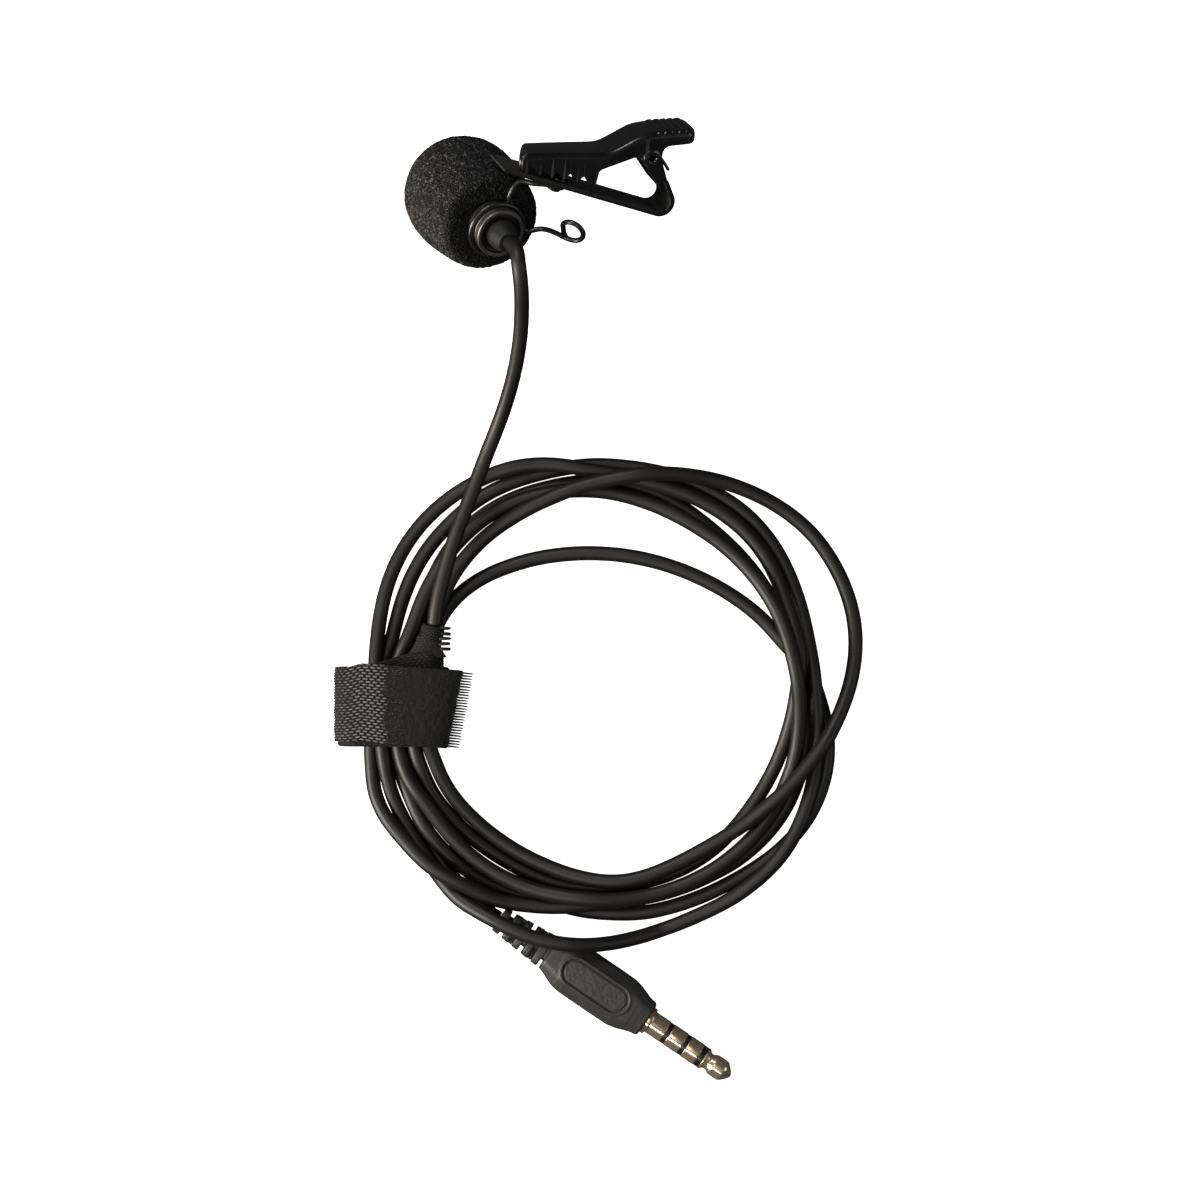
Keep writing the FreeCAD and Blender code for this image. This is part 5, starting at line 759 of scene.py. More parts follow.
CABLE_PVC = finish("cable_pvc_satin", color=(0.0100, 0.0090, 0.0078), rough=0.46,
                   grain=(0.16, 0.22), blotch=(9.0, 0.3), rough_spread=0.07)
RUBBER = finish("relief_rubber", color=(0.012, 0.012, 0.012), rough=0.55,
                grain=(0.12, 0.25), blotch=(2.5, 0.25), specular=0.4)
LACQUER = finish("clip_black_lacquer", color=(0.0065, 0.0063, 0.0065), rough=0.23,
                 grain=(0.35, 0.10), blotch=(3.0, 0.35), specular=0.55, rough_spread=0.06,
                 coat=0.35, wear=((0.05, 0.048, 0.046), 0.535, 0.60))
CLIP_SATIN = finish("clip_inner_satin", color=(0.030, 0.0295, 0.029), rough=0.42,
                    grain=(0.2, 0.3), blotch=(2.0, 0.3), specular=0.55, rough_spread=0.1)
BLACK_WIRE = finish("holder_black_wire", color=(0.010, 0.010, 0.0105), rough=0.28,
                    grain=(0.2, 0.12), blotch=(1.5, 0.3), specular=0.6, rough_spread=0.08,
                    coat=0.3)
SPRING_WIRE = finish("spring_wire_dark", color=(0.05, 0.048, 0.046), rough=0.32, metal=0.85,
                     grain=(0.2, 0.15), blotch=(0.9, 0.3), rough_spread=0.1)
TURNED = finish("barrel_satin_turned", color=(0.20, 0.185, 0.175), rough=0.36, metal=0.9,
                uv_scale=(3.0, 420.0, 1.0), grain=(0.3, 0.35), blotch=(2.0, 0.12),
                rough_spread=0.1)
DARK_RECESS = finish("barrel_dark_recess", color=(0.012, 0.012, 0.012), rough=0.5,
                     uv_scale=(3.0, 300.0, 1.0), grain=(0.3, 0.2), blotch=(2.0, 0.2))
MOULDED = finish("handle_moulded", color=(0.034, 0.0325, 0.032), rough=0.46,
                 grain=(0.13, 0.55), blotch=(3.5, 0.15), specular=0.45, rough_spread=0.08)
GOLD = finish("contact_gold", color=(1.0, 0.80, 0.56), rough=0.20, metal=0.9,
              grain=(0.3, 0.0), blotch=(1.4, 0.02), rough_spread=0.0)
INSULATOR = finish("insulator_black", color=(0.010, 0.010, 0.010), rough=0.30,
                   grain=(0.15, 0.1), blotch=(0.8, 0.2))
FILAMENT = finish("hook_filament", color=(0.009, 0.0088, 0.0086), rough=0.5,
                  grain=(0.08, 0.1), blotch=(1.2, 0.3), specular=0.6)
# the foam's colour follows a vertex attribute of painted highlights on the cell walls and painted
# shade in the pits and on the rear face
FOAM = attribute_finish("foam_open_cell", "strut", positions=(0.24, 1.0),
                        colors=((0.0010, 0.0010, 0.0010), (0.125, 0.120, 0.113)),
                        rough=(0.70, 0.42), specular=0.35, grain=(0.09, 0.2))
WEBBING = attribute_finish("strap_webbing", "shade", positions=(0.14, 1.0),
                           colors=((0.0042, 0.0040, 0.0039), (0.24, 0.225, 0.21)),
                           rough=(0.85, 0.40), specular=0.35, grain=(0.07, 0.5))

# ---------------------------------------------------------------------------------------- cable
coil = catmull(COIL, 0.75)
coil_run = arc_lengths(coil)
coil_swell = 1.0 + 0.004 * np.sin(coil_run * 0.21) + 0.003 * np.sin(coil_run * 0.67 + 1.0)
register(tube("cable_coil", coil, CABLE_RADIUS * coil_swell, segments=24), CABLE_PVC,
         ride="coiled_lead", replaces=["coiled_cable"])

lead = catmull(LEAD, 0.6)
lead_swell = 1.0 + 0.004 * np.sin(arc_lengths(lead) * 0.3)
mic_lead = register(
    tube("cable_mic_lead", lead, CABLE_RADIUS * lead_swell, segments=24), CABLE_PVC,
    replaces=["mic_lead_jacket", "mic_lead_shield", "mic_lead_core_insulation",
              "mic_lead_conductor"])

# ----------------------------------------------------------------------------- microphone head
# Profiles are (radius, height along the axis[, corner radius]).
BARREL_PROFILE = [
    (2.7, -0.9), (3.3, -0.9, 0.25), (3.60, -0.55, 0.2), (3.60, 11.98), (3.60, 12.0),
    (3.52, 12.1, 0.05), (3.52, 12.2, 0.02), (3.3, 12.2), (3.3, -0.5, 0.05), (2.7, -0.5)]
COLLAR_PROFILE = [
    (2.25, 11.2), (3.17, 11.2), (3.17, 12.24), (3.56, 12.24, 0.03), (3.70, 12.34, 0.06),
    (3.70, 13.18, 0.16), (3.56, 13.34, 0.10), (3.10, 13.34, 0.12), (2.98, 12.9, 0.1),
    (2.25, 12.86)]
RELIEF_PROFILE = [
    (1.08, 10.6), (2.9, 10.6), (2.9, 11.15), (2.2, 11.15, 0.05), (2.2, 13.1), (2.2, 14.1, 0.5),
    (2.02, 14.9, 0.8), (1.72, 15.9, 0.6), (1.62, 16.2, 0.14), (1.2, 16.24, 0.06), (1.08, 16.05)]
COLLAR_RECESS_RADIUS = 3.08  # faces nearer the axis than this are dark

barrel = lathe("mic_barrel", BARREL_PROFILE, HEAD, 128, 0.06, closed=True)
register(barrel, TURNED, "mic_head", ["capsule_housing"])
collar = lathe("mic_collar", COLLAR_PROFILE, HEAD, 128, 0.05, closed=True)
register(collar, TURNED, "mic_head", ["rear_collar"])
collar.data.materials.append(DARK_RECESS)
for face in collar.data.polygons:
    offset = (np.array(face.center) * 1e3 - SHIFT) - HEAD_CENTRE
    if np.linalg.norm(offset - HEAD_AXIS * offset.dot(HEAD_AXIS)) < COLLAR_RECESS_RADIUS:
        face.material_index = 1
relief = lathe("mic_strain_relief", RELIEF_PROFILE, HEAD, 96, 0.08, closed=True)
register(relief, RUBBER, "mic_head", ["lead_strain_relief"])

# ----------------------------------------------------------------------------------------- foam
FOAM_RADIUS = 8.6
# (radius, height along the head's axis): the dome, the tapering side, then the rear face
FOAM_OUTER = [(FOAM_RADIUS * math.sin(math.radians(a)), -FOAM_RADIUS * math.cos(math.radians(a)))
              for a in range(0, 91, 3)]
FOAM_OUTER += [
    (8.58, 0.8), (8.54, 1.6), (8.45, 2.8), (8.34, 3.8), (8.2, 4.8), (8.02, 6.0), (7.84, 7.1),
    (7.66, 8.1), (7.50, 8.8), (7.28, 9.3), (6.95, 9.65), (6.5, 9.82), (5.6, 9.84), (4.6, 9.80),
    (3.95, 9.74), (3.74, 9.55)]
FOAM_BORE = [(3.70, 9.0), (3.69, 6.0), (3.69, -1.05), (0.0, -1.05)]


def spin(radii, heights, angles):
    """Points of rings with the given radii and heights, ring after ring."""
    level = np.broadcast_to(heights[:, None], (len(radii), len(angles)))
    around = [radii[:, None] * np.cos(angles), radii[:, None] * np.sin(angles), level]
    return np.stack(around, -1).reshape(-1, 3)


def build_foam():
    """Open-cell skin: cell walls stand up and pits sink in, with a plain bore inside."""
    outer, run = resample(FOAM_OUTER, 0.07)
    segments = 760
    angles = ring_angles(segments)
    radius, height = outer[:, 0], outer[:, 1]
    normal_r, normal_z = np.gradient(height), -np.gradient(radius)
    size = np.hypot(normal_r, normal_z)
    surface = spin(radius, height, angles)
    normals = spin(normal_r / size, normal_z / size, angles)

    lump = 0.10 * value_noise(surface, 5.5, 1) + 0.045 * value_noise(surface, 2.1, 2)
    warped = surface + 0.10 * value_noise(surface, 0.6, 5)[:, None]
    nearest, second = worley(warped, 0.36)
    pit = smoothstep(clamp((second - nearest - 0.03) / 0.22))
    relief_height = 0.20 + lump - (0.30 + 0.10 * value_noise(surface, 0.85, 7)) * pit
    relief_height += 0.07 * value_noise(surface, 0.27, 9) * (1 - pit)
    # the relief fades out at the dome's pole and towards the bore's rim
    fade = clamp(radius / 0.6) * (0.15 + 0.85 * clamp((run[-1] - run) / 1.2))
    skin = surface + normals * (relief_height * np.repeat(fade, segments))[:, None]

    # painted highlights make walls stand out pale at random, painted shade makes the pits near
    # black, and painted shade dims the rear face
    glint = np.clip(0.30 + 0.95 * value_noise(surface, 0.26, 12), 0.08, 1.0)
    rear_painted_shade = np.repeat(1.0 - 0.45 * clamp((height - 9.2) / 0.5), segments)
    strut = clamp((1 - pit) * glint * rear_painted_shade)

    bore = resample([FOAM_OUTER[-1]] + FOAM_BORE, 0.5)[0][1:]
    bore_points = spin(bore[:, 0], bore[:, 1], angles)
    obj = add_mesh("foam_windscreen_skin", in_frame(np.vstack([skin, bore_points]), *HEAD),
                   grid_faces(len(outer) + len(bore), segments),
                   attribute=("strut", np.r_[strut, np.full(len(bore_points), 0.05)]))
    clean_mesh(obj, 1e-6)
    return obj


register(build_foam(), FOAM, "windscreen", ["foam_windscreen"])

# ------------------------------------------------------------------------- holder and springs
WIRE_STEP = 0.12
HOLDER_RADIUS = 0.40
SPRING_RADIUS = 0.25
EYE_CENTRE = np.array([-4.02, 53.8, 16.05])
EYE_RADIUS = 1.69
EYE_X, EYE_Y = unit([0.9073, -0.4206, 0.0]), unit([0.216, 0.467, 0.857])
# angle round the eye in degrees, then the offset of the wire from it
EYE_END = [(255.0, (-0.10, -0.18, -0.95)), (238.0, (-0.02, -0.02, -0.80)),
           (221.0, (0.08, 0.2, -0.52))]
# the spring's free leg: along, up in the clip's axes
SPRING_LEG = [(19.2, -1.9), (20.2, -1.5), (20.95, -1.2), (21.5, -1.75), (22.0, -2.4),
              (22.45, -3.05)]
SPRING_LEG_SIDE = -1.1

eye_end = [EYE_CENTRE + EYE_X * EYE_RADIUS * math.cos(math.radians(angle))
           + EYE_Y * EYE_RADIUS * math.sin(math.radians(angle)) + np.array(offset)
           for angle, offset in EYE_END]
holder_line = catmull(np.vstack([eye_end, HOLDER]), WIRE_STEP)
register(tube("holder_wire", holder_line, HOLDER_RADIUS, round_ends=0.9), BLACK_WIRE,
         "holder", ["wire_holder"])
leg_points = [(*point, SPRING_LEG_SIDE) for point in SPRING_LEG]
for name, local, replaced in (("jaw_spring", SPRING, ["torsion_spring"]),
                              ("jaw_spring_leg", leg_points, [])):
    wire_line = catmull(in_frame(local, *CLIP), WIRE_STEP)
    register(tube(name, wire_line, SPRING_RADIUS, segments=16, round_ends=0.8), SPRING_WIRE,
             "clip_base", replaced)

# ----------------------------------------------------------------------------------------- clip
# Upper jaw, seen from the side: (along, up) of its back, from the nose to the finger pad.
JAW_BACK = [
    (-0.66, -1.55), (-0.62, -0.75), (-0.47, -0.34), (-0.1, -0.06), (0.45, 0.05), (3.0, 0.06),
    (8.0, 0.03), (11.6, 0.0), (13.0, 0.26), (14.8, 1.14), (16.4, 2.02), (17.8, 2.62),
    (19.5, 2.93)]
# stations along the pad are close together so that its ribs are round
JAW_BACK += [(x, float(np.interp(x, (19.5, 20.5, 25.6), (2.93, 2.99, 3.15))))
             for x in np.arange(19.6, 25.55, 0.08)]
JAW_BACK += [(25.6, 3.15), (25.95, 3.02)]
TEETH = (0.5, 2.3, 4.15, 6.0, 7.95)  # tooth tips along the jaw
LAST_NOTCH = 9.05
PIVOT = (19.3, -0.77)
EAR_RADIUS = 1.55
PIVOT_BORE = 1.0
JAW_WIDTH = 6.4
JAW_WALL = 0.5
JAW_EDGE_RADIUS = 0.85
RIB_START, RIB_END, RIB_PITCH = 19.96, 25.36, 1.08


def tooth_line(x):
    """Height of the line that the teeth touch."""
    return -2.33 - 0.215 * (x + 1.5)


def notch(x):
    """Three points of the gap between two teeth."""
    floor_up = tooth_line(x)
    return [(x - 0.1, floor_up + 1.10), (x, floor_up + 1.16), (x + 0.1, floor_up + 1.10)]


def jaw_underside():
    outline = [(-0.66, -1.9), (-0.5, -2.22), (-0.1, -2.28)]
    for i, tooth in enumerate(TEETH):
        if i:
            outline += notch((TEETH[i - 1] + tooth) / 2)
        tip = tooth_line(tooth) + 0.04
        outline += [(tooth - 0.08, tip), (tooth + 0.08, tip)]
    outline += notch(LAST_NOTCH)
    outline += [
        (10.08, tooth_line(10.15) + 0.03), (10.2, -4.84), (10.95, -4.84), (11.05, -4.6),
        (11.26, -3.3), (11.34, -2.8), (11.75, -2.42), (12.2, -2.26), (14.0, -1.62),
        (16.4, -0.80), (17.0, -0.66), (17.5, -0.66), (17.76, -0.85)]
    for a in range(192, 361, 8):  # the ear round the pivot
        outline.append((PIVOT[0] + EAR_RADIUS * math.cos(math.radians(a)),
                        PIVOT[1] + EAR_RADIUS * math.sin(math.radians(a))))
    outline += [(20.95, 0.05), (21.2, 0.55), (21.7, 0.88), (22.4, 0.98), (25.2, 1.2),
                (25.7, 1.45), (26.0, 1.9)]
    return np.array(outline)


def plan_inset(x):
    """How far each side draws in, for the taper, the rounded nose and the pad's end."""
    inset = 0.0
    if x < 13.0:
        inset = 0.32 * (13.0 - x) / 13.6
    if x < 0.35:
        inset += 0.75 * (1.0 - math.sqrt(max(0.0, 1.0 - min(1.0, (0.35 - x) / 1.05) ** 2)))
    if x > 24.6:
        inset = 0.95 * (1.0 - math.sqrt(max(0.0, 1.0 - min(1.0, (x - 24.6) / 1.4) ** 2)))
    return inset


def jaw_section(x, top, bottom):
    """(along, up, side) points of the channel section: outer skin, then inner skin."""
    bottom = min(bottom, top - 0.52)
    radius = min(JAW_EDGE_RADIUS, (top - bottom) * 0.9)
    inner_radius = max(0.05, radius - JAW_WALL)
    inset = plan_inset(x)
    near, far = -inset, -JAW_WIDTH + inset

    def quarter(steps, drop, bend, side, outward, rising):
        """Rounded edge under the top; outward is +1 on the near side and -1 on the far."""
        arc = []
        for k in range(steps + 1):
            a = math.radians(90 * k / steps if rising else 90 - 90 * k / steps)
            arc.append((top - drop - bend + bend * math.sin(a),
                        side - outward * bend + outward * bend * math.cos(a)))
        return arc

    outer = [(bottom, near)] + quarter(6, 0, radius, near, 1, True)
    span = -JAW_WIDTH + 2 * inset + 2 * radius
    outer += [(top + 0.02 * math.sin(math.pi * k / 4), near - radius + span * k / 4)
              for k in (1, 2, 3)]
    outer += quarter(6, 0, radius, far, -1, False) + [(bottom, far)]
    inner = [(bottom, far + JAW_WALL)]
    inner += quarter(4, JAW_WALL, inner_radius, far + JAW_WALL, -1, True)
    inner += quarter(4, JAW_WALL, inner_radius, near - JAW_WALL, 1, False)
    inner.append((bottom, near - JAW_WALL))
    inner = [(max(up, bottom), side) for up, side in inner]
    return [(x, up, side) for up, side in outer + inner], len(outer)


def build_upper_jaw():
    back = catmull(JAW_BACK, 0.25)
    under = jaw_underside()
    stations = np.unique(np.round(np.r_[back[:, 0], under[:, 0]], 3))
    stations = stations[(stations > -0.60) & (stations < 25.97)]
    tops = np.interp(stations, back[:, 0], back[:, 1])
    bottoms = np.interp(stations, under[:, 0], under[:, 1])
    sections = [jaw_section(*station) for station in zip(stations, tops, bottoms)]
    outer_count = sections[0][1]
    body = np.array([section for section, _ in sections])

    # the nose is cut askew across its width
    nose = clamp((5.0 - body[..., 0]) / 5.6) ** 1.6
    across = body[..., 2] / JAW_WIDTH
    body[..., 0] += 1.9 * nose * clamp(-across) ** 1.2 - 0.55 * nose * clamp(1 + across)

    # finger ribs on the pad: rounded ridges across the width
    x, up = body[:, :outer_count, 0], body[:, :outer_count, 1]
    on_pad = (RIB_START < x) & (x < RIB_END) & (up > np.interp(x, back[:, 0], back[:, 1]) - 0.25)
    ridge = 0.24 * np.abs(np.sin(math.pi * ((x - RIB_START) / RIB_PITCH))) ** 0.55 - 0.03
    body[:, :outer_count, 1] += np.where(on_pad, ridge, 0.0)

    obj = add_mesh("jaw_upper", in_frame(body.reshape(-1, 3), *CLIP),
                   capped_grid(*body.shape[:2]), smooth=False)
    clean_mesh(obj, 1e-6)
    return obj


def pivot_cutter(side_from, side_to, segments=40):
    rings = [[(PIVOT[0] + PIVOT_BORE * math.cos(a), PIVOT[1] + PIVOT_BORE * math.sin(a), side)
              for a in ring_angles(segments)] for side in (side_from, side_to)]
    obj = add_mesh("cut", in_frame(np.array(rings).reshape(-1, 3), *CLIP),
                   capped_grid(2, segments), smooth=False)
    clean_mesh(obj, 1e-7)
    return obj


upper_jaw = build_upper_jaw()
cutter = pivot_cutter(-9, 3)
bore = upper_jaw.modifiers.new("bore", "BOOLEAN")
bore.operation = "DIFFERENCE"
bore.solver = "EXACT"
bore.object = cutter
apply_modifiers(upper_jaw)
bpy.data.objects.remove(cutter)
bevel(upper_jaw, width=0.07, segments=2, angle=40)
register(upper_jaw, LACQUER, "clip_jaw", ["clip_upper_jaw"])

# the lower jaw slopes down, from the nose to the pad, against the clip's long axis
JAW_SLOPE = math.radians(17.3)
slope_along = np.array([math.cos(JAW_SLOPE), -math.sin(JAW_SLOPE)])
lower_along = CLIP_ALONG * slope_along[0] + CLIP_UP * slope_along[1]
lower_normal = CLIP_ALONG * math.sin(JAW_SLOPE) + CLIP_UP * math.cos(JAW_SLOPE)
LOWER_TIP = np.array([-3.4, -2.33])  # along, up
RIVET_ALONG = 6.0
CLIP_MIDDLE = -JAW_WIDTH / 2


def build_lower_jaw():
    """Lower jaw from the CAD mesh, with rounded edges."""
    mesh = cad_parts["clip_lower_jaw"].data.copy()
    obj = bpy.data.objects.new("jaw_lower", mesh)
    bpy.context.collection.objects.link(obj)
    clean_mesh(obj, 2e-6, flat_angle=math.radians(2.0))
    if mesh.has_custom_normals:
        mesh.attributes.remove(mesh.attributes["custom_normal"])
    bevel(obj, width=0.12, segments=3, angle=32)
    return obj


lower_jaw = register(build_lower_jaw(), LACQUER, "clip_base", ["clip_lower_jaw"])
lower_jaw.data.materials.append(CLIP_SATIN)
for face in lower_jaw.data.polygons:  # satin on the upper faces and those at the nose end
    normal = np.array(face.normal)
    if float(np.dot(normal, lower_normal)) > 0.8 or float(np.dot(normal, -CLIP_ALONG)) > 0.75:
        face.material_index = 1

RIVET_PROFILE = [
    (0.0, -1.42), (0.5, -1.41, 0.2), (0.9, -1.25, 0.25), (1.02, -1.0, 0.08),
    (0.57, -0.97, 0.02), (0.57, 0.66, 0.02), (1.75, 0.665, 0.05), (1.72, 0.85, 0.3),
    (1.4, 1.17, 0.5), (0.9, 1.35, 0.5), (0.0, 1.41)]
rivet_place = LOWER_TIP + slope_along * ((RIVET_ALONG - LOWER_TIP[0]) / slope_along[0])
rivet_axes = (in_frame([*rivet_place, CLIP_MIDDLE], *CLIP), lower_along,
              np.cross(lower_normal, lower_along), lower_normal)
register(lathe("jaw_rivet", RIVET_PROFILE, rivet_axes, 72, 0.06), LACQUER,
         "clip_base", ["holder_rivet"])

PIVOT_HALF = [(0.5, -3.5), (0.62, -3.62, 0.1), (0.95, -3.66, 0.12), (1.35, -3.52, 0.12),
              (1.38, -3.26, 0.04), (0.94, -3.24, 0.02)]
pivot_profile = PIVOT_HALF + [(radius, -z, *bend) for radius, z, *bend in reversed(PIVOT_HALF)]
pivot_axes = (in_frame([*PIVOT, CLIP_MIDDLE], *CLIP), *CLIP[1:])
register(lathe("jaw_pivot_tube", pivot_profile, pivot_axes, 72, 0.06, closed=True), LACQUER,
         "clip_base", ["pivot_rivet"])

# ---------------------------------------------------------------------------------------- strap
STRAP_Y0, STRAP_Y1 = -21.95, -9.75
FLAP_EDGE_X = -20.6  # the flap's free edge, at FLAP_PIVOT_Y
FLAP_SLANT = 0.19
FLAP_PIVOT_Y = -12.0


def band(name, path, y0, y1, thick, step_along, step_y, relief, shear=None):
    """Woven band along an (x, z) path of its outer face, whose outside is left of travel.

    relief(run, y, x) gives height and shade; shear(share of run, y) gives x and y offsets.
    Returns the object with the path's points and normals.
    """
    path, run = resample(path, step_along)
    count = max(4, int((y1 - y0) / step_y))
    tangents = np.gradient(path, axis=0)
    tangents /= np.linalg.norm(tangents, axis=1)[:, None]
    normals = np.stack([-tangents[:, 1], tangents[:, 0]], -1)
    runs, y = np.meshgrid(run, np.linspace(y0, y1, count), indexing="ij")
    x = np.broadcast_to(path[:, 0][:, None], runs.shape)
    z = np.broadcast_to(path[:, 1][:, None], runs.shape)
    height, shade = relief(runs, y, x)
    # the long edges roll over and thin out
    edge = clamp(np.minimum(y - y0, y1 - y) / 0.35)
    height = height * (0.4 + 0.6 * edge) - 0.30 * (1 - np.sqrt(1 - (1 - edge) ** 2))

    def face_at(level):
        return np.stack([x + normals[:, 0][:, None] * level, y,
                         z + normals[:, 1][:, None] * level], -1)

    section = np.concatenate([face_at(height), face_at(np.full_like(runs, -thick))[:, ::-1]], 1)
    if shear:
        offset = np.stack(shear(runs / run[-1], y), -1)
        section[..., :2] += np.concatenate([offset, offset[:, ::-1]], 1)
    shades = np.concatenate([shade, np.full(runs.shape, 0.25)], 1)
    obj = add_mesh(name, section.reshape(-1, 3), capped_grid(*section.shape[:2]),
                   attribute=("shade", shades.reshape(-1)))
    clean_mesh(obj, 1e-7)
    return obj, path, normals


def staggered(run, y, length, width):
    """Place in the cell, -0.5 to 0.5 each way, of a brick pattern, with the row number."""
    row = np.floor(y / width)
    along = run / length + 0.5 * (row % 2)
    return along, y / width - row - 0.5, row


def weave(run, y, length=1.02, width=0.46):
    """Short raised dashes along the band, staggered row by row: height and shade."""
    along, across, row = staggered(run, y, length, width)
    along = along + 0.08 * np.sin(row * 1.7)
    along = along - np.floor(along) - 0.5
    dash = clamp(1 - (np.abs(along) / 0.42) ** 3 - (np.abs(across) / 0.36) ** 2)
    ply = 0.5 + 0.5 * np.sin((along * 3.0 + across * 1.2) * 9.0)
    height = np.sqrt(dash)
    return height, clamp(0.22 + 0.78 * height * (0.75 + 0.25 * ply))


def bright_threads(shade):
    return clamp((shade - 0.35) / 0.65)


def dots(run, y, pitch=0.36):
    along, across, _ = staggered(run, y, pitch, pitch * 0.8)
    along = along - np.floor(along) - 0.5
    height = clamp(1 - (along / 0.42) ** 2 - (across / 0.42) ** 2)
    return height, 0.2 + 0.45 * height


def band_noise(run, y, cell, seed):
    places = np.stack([run.ravel(), y.ravel(), np.zeros(run.size) + 3.3 * seed], -1)
    return value_noise(places, cell, seed).reshape(run.shape)


def flap_relief(run, y, x):
    """Three zones from -X to +X: webbing, dotted ground, brushed pile."""
    weave_height, weave_shade = weave(run, y)
    dot_height, dot_shade = dots(run, y)
    fine = band_noise(run, y, 0.22, 3)
    coarse = band_noise(run, y, 0.7, 4)
    border = x + 0.35 * np.sin(y * 1.3) + 0.2 * band_noise(run, y, 0.8, 6)
    web = clamp((-31.2 - border) / 0.5)
    dotted = clamp((-28.0 - border) / 1.6) * (1 - web)
    pile = 1 - web - dotted
    height = (web * 0.15 * weave_height + dotted * (0.07 * dot_height + 0.03 * fine)
              + pile * (0.03 * fine + 0.04 * coarse))
    lit = np.clip(0.55 + 0.75 * np.exp(-((x + 34.0) / 2.6) ** 2) + 0.3 * coarse, 0.2, 1.3)
    shade = (web * bright_threads(weave_shade) ** 1.3 * lit
             + dotted * clamp((dot_shade - 0.3) / 0.35) * np.clip(0.20 + 0.5 * fine, 0.05, 1)
             + pile * (0.08 + 0.08 * fine + 0.02 * coarse))
    return height, clamp(shade)


def web_relief(run, y, x):
    height, shade = weave(run + 0.3, y, 0.8, 0.42)
    return 0.10 * height, bright_threads(shade) * 0.30


def strap_loop(x0, x1, z0, z1, radius):
    """Closed rounded rectangle as (x, z), clockwise with +X right and +Z up."""
    loop = []
    for x, z, start in ((x1 - radius, z0 + radius, -90), (x1 - radius, z1 - radius, 0),
                        (x0 + radius, z1 - radius, 90), (x0 + radius, z0 + radius, 180)):
        for k in range(9):
            a = math.radians(start + 90 * k / 8)
            loop.append((x + radius * math.cos(a), z + radius * math.sin(a)))
    return loop[::-1] + loop[-1:]


def flap_shear(share, y):
    """The flap lies a little askew: its long edges bow and its free end slants."""
    across = (y - STRAP_Y0) / (STRAP_Y1 - STRAP_Y0)
    knots = [0.3, 0.38, 0.46, 0.65, 1.0]
    high_edge = np.interp(share, knots, [-0.15, -0.10, 0.45, 0.15, -0.65])
    low_edge = np.interp(share, knots, [1.00, 1.05, 1.35, 0.55, 0.05])
    slant = FLAP_SLANT * (y - FLAP_PIVOT_Y) * clamp((share - 0.55) / 0.45) ** 1.5
    return slant + 0.05 * np.sin(y * 2.3), high_edge * across + low_edge * (1 - across)


inner_layer = band("strap_inner_layer", strap_loop(-38.25, -23.35, 0.58, 9.55, 2.55),
                   -19.5, -7.75, thick=0.42, step_along=0.16, step_y=0.10, relief=web_relief)[0]
# the layer's +Y edge bows along X
for vertex in inner_layer.data.vertices:
    x = vertex.co.x * 1e3 - SHIFT[0]
    share = min(1.0, max(0.0, (vertex.co.y * 1e3 - SHIFT[1] + 14.0) / 6.0))
    bow = float(np.interp(x, (-38.4, -34.5, -29.0, -25.0, -23.3), (-2.6, -2.0, -0.3, 0.35, -0.6)))
    vertex.co.y += 1e-3 * share * bow
register(inner_layer, WEBBING, "coiled_lead", ["strap_inner_turn"])

wrap = band("strap_outer_wrap", strap_loop(-38.85, -22.55, 0.12, 10.30, 3.1),
            STRAP_Y0 + 0.3, STRAP_Y1 - 0.25, thick=0.50, step_along=0.14, step_y=0.09,
            relief=web_relief)[0]
register(wrap, WEBBING, "coiled_lead", ["strap_wrap"])

# (x, z) of the flap's outer face, up the -X side and over the top to its free edge
FLAP_PATH = [
    (-38.2, 1.6), (-38.95, 2.6), (-39.32, 4.2), (-39.38, 6.0), (-39.2, 8.2), (-38.6, 9.9),
    (-37.5, 10.95), (-35.8, 11.45), (-33.0, 11.64), (-30.0, 11.70), (-27.0, 11.66),
    (-24.4, 11.50), (-22.6, 11.20), (-21.5, 10.85), (-20.85, 10.5), (-20.6, 10.1)]
flap, flap_line, flap_normals = band(
    "strap_end_flap", catmull(FLAP_PATH, 0.3), STRAP_Y0, STRAP_Y1, thick=0.62,
    step_along=0.075, step_y=0.06, relief=flap_relief, shear=flap_shear)
register(flap, WEBBING, replaces=["strap_tail"])


# ------------------------------------------------------------------------ filaments and neck
def filaments(name, lines, thickness, sides, ride):
    """One mesh of many thin tubes; lines hold (points, radius), thickness the taper."""
    verts, faces = [], []
    count = len(thickness)
    for i, (line, radius) in enumerate(lines):
        rings = cross_rings(line, sides)[2]
        radii = radius * np.array(thickness)
        verts.append((line[:, None, :] + rings * radii[:, None, None]).reshape(-1, 3))
        faces += capped_grid(count, sides, first=i * count * sides)
    register(add_mesh(name, np.vstack(verts), faces), FILAMENT, ride)


def hook_line(root, direction, curl, length):
    """Short stalk that curls over beyond 0.7 of its length."""
    direction, curl = unit(direction), unit(curl)
    line = []
    for k in range(7):
        u = k / 6
        rise = u if u < 0.7 else 0.7 + 0.22 * math.sin((u - 0.7) / 0.3 * 1.4)
        bend = 0.10 * length * u * u + (0.22 * length * (u - 0.7) / 0.3 if u > 0.7 else 0)
        line.append(root + direction * (length * rise) + curl * bend)
    return np.array(line)


def spike_line(root, direction, length):
    """Nearly straight bristle that droops towards its tip."""
    line = np.array([root + unit(direction) * (length * u) for u in (0.0, 0.35, 0.7, 0.93, 1.0)])
    line[:, 2] -= np.array([0.0, 0.02, 0.08, 0.15, 0.18]) * length
    return line


HOOK_TAPER = (1.15, 1.0, 1.0, 1.0, 1.0, 0.95, 0.55)
SPIKE_TAPER = (1.15, 1.05, 0.95, 0.75, 0.35)
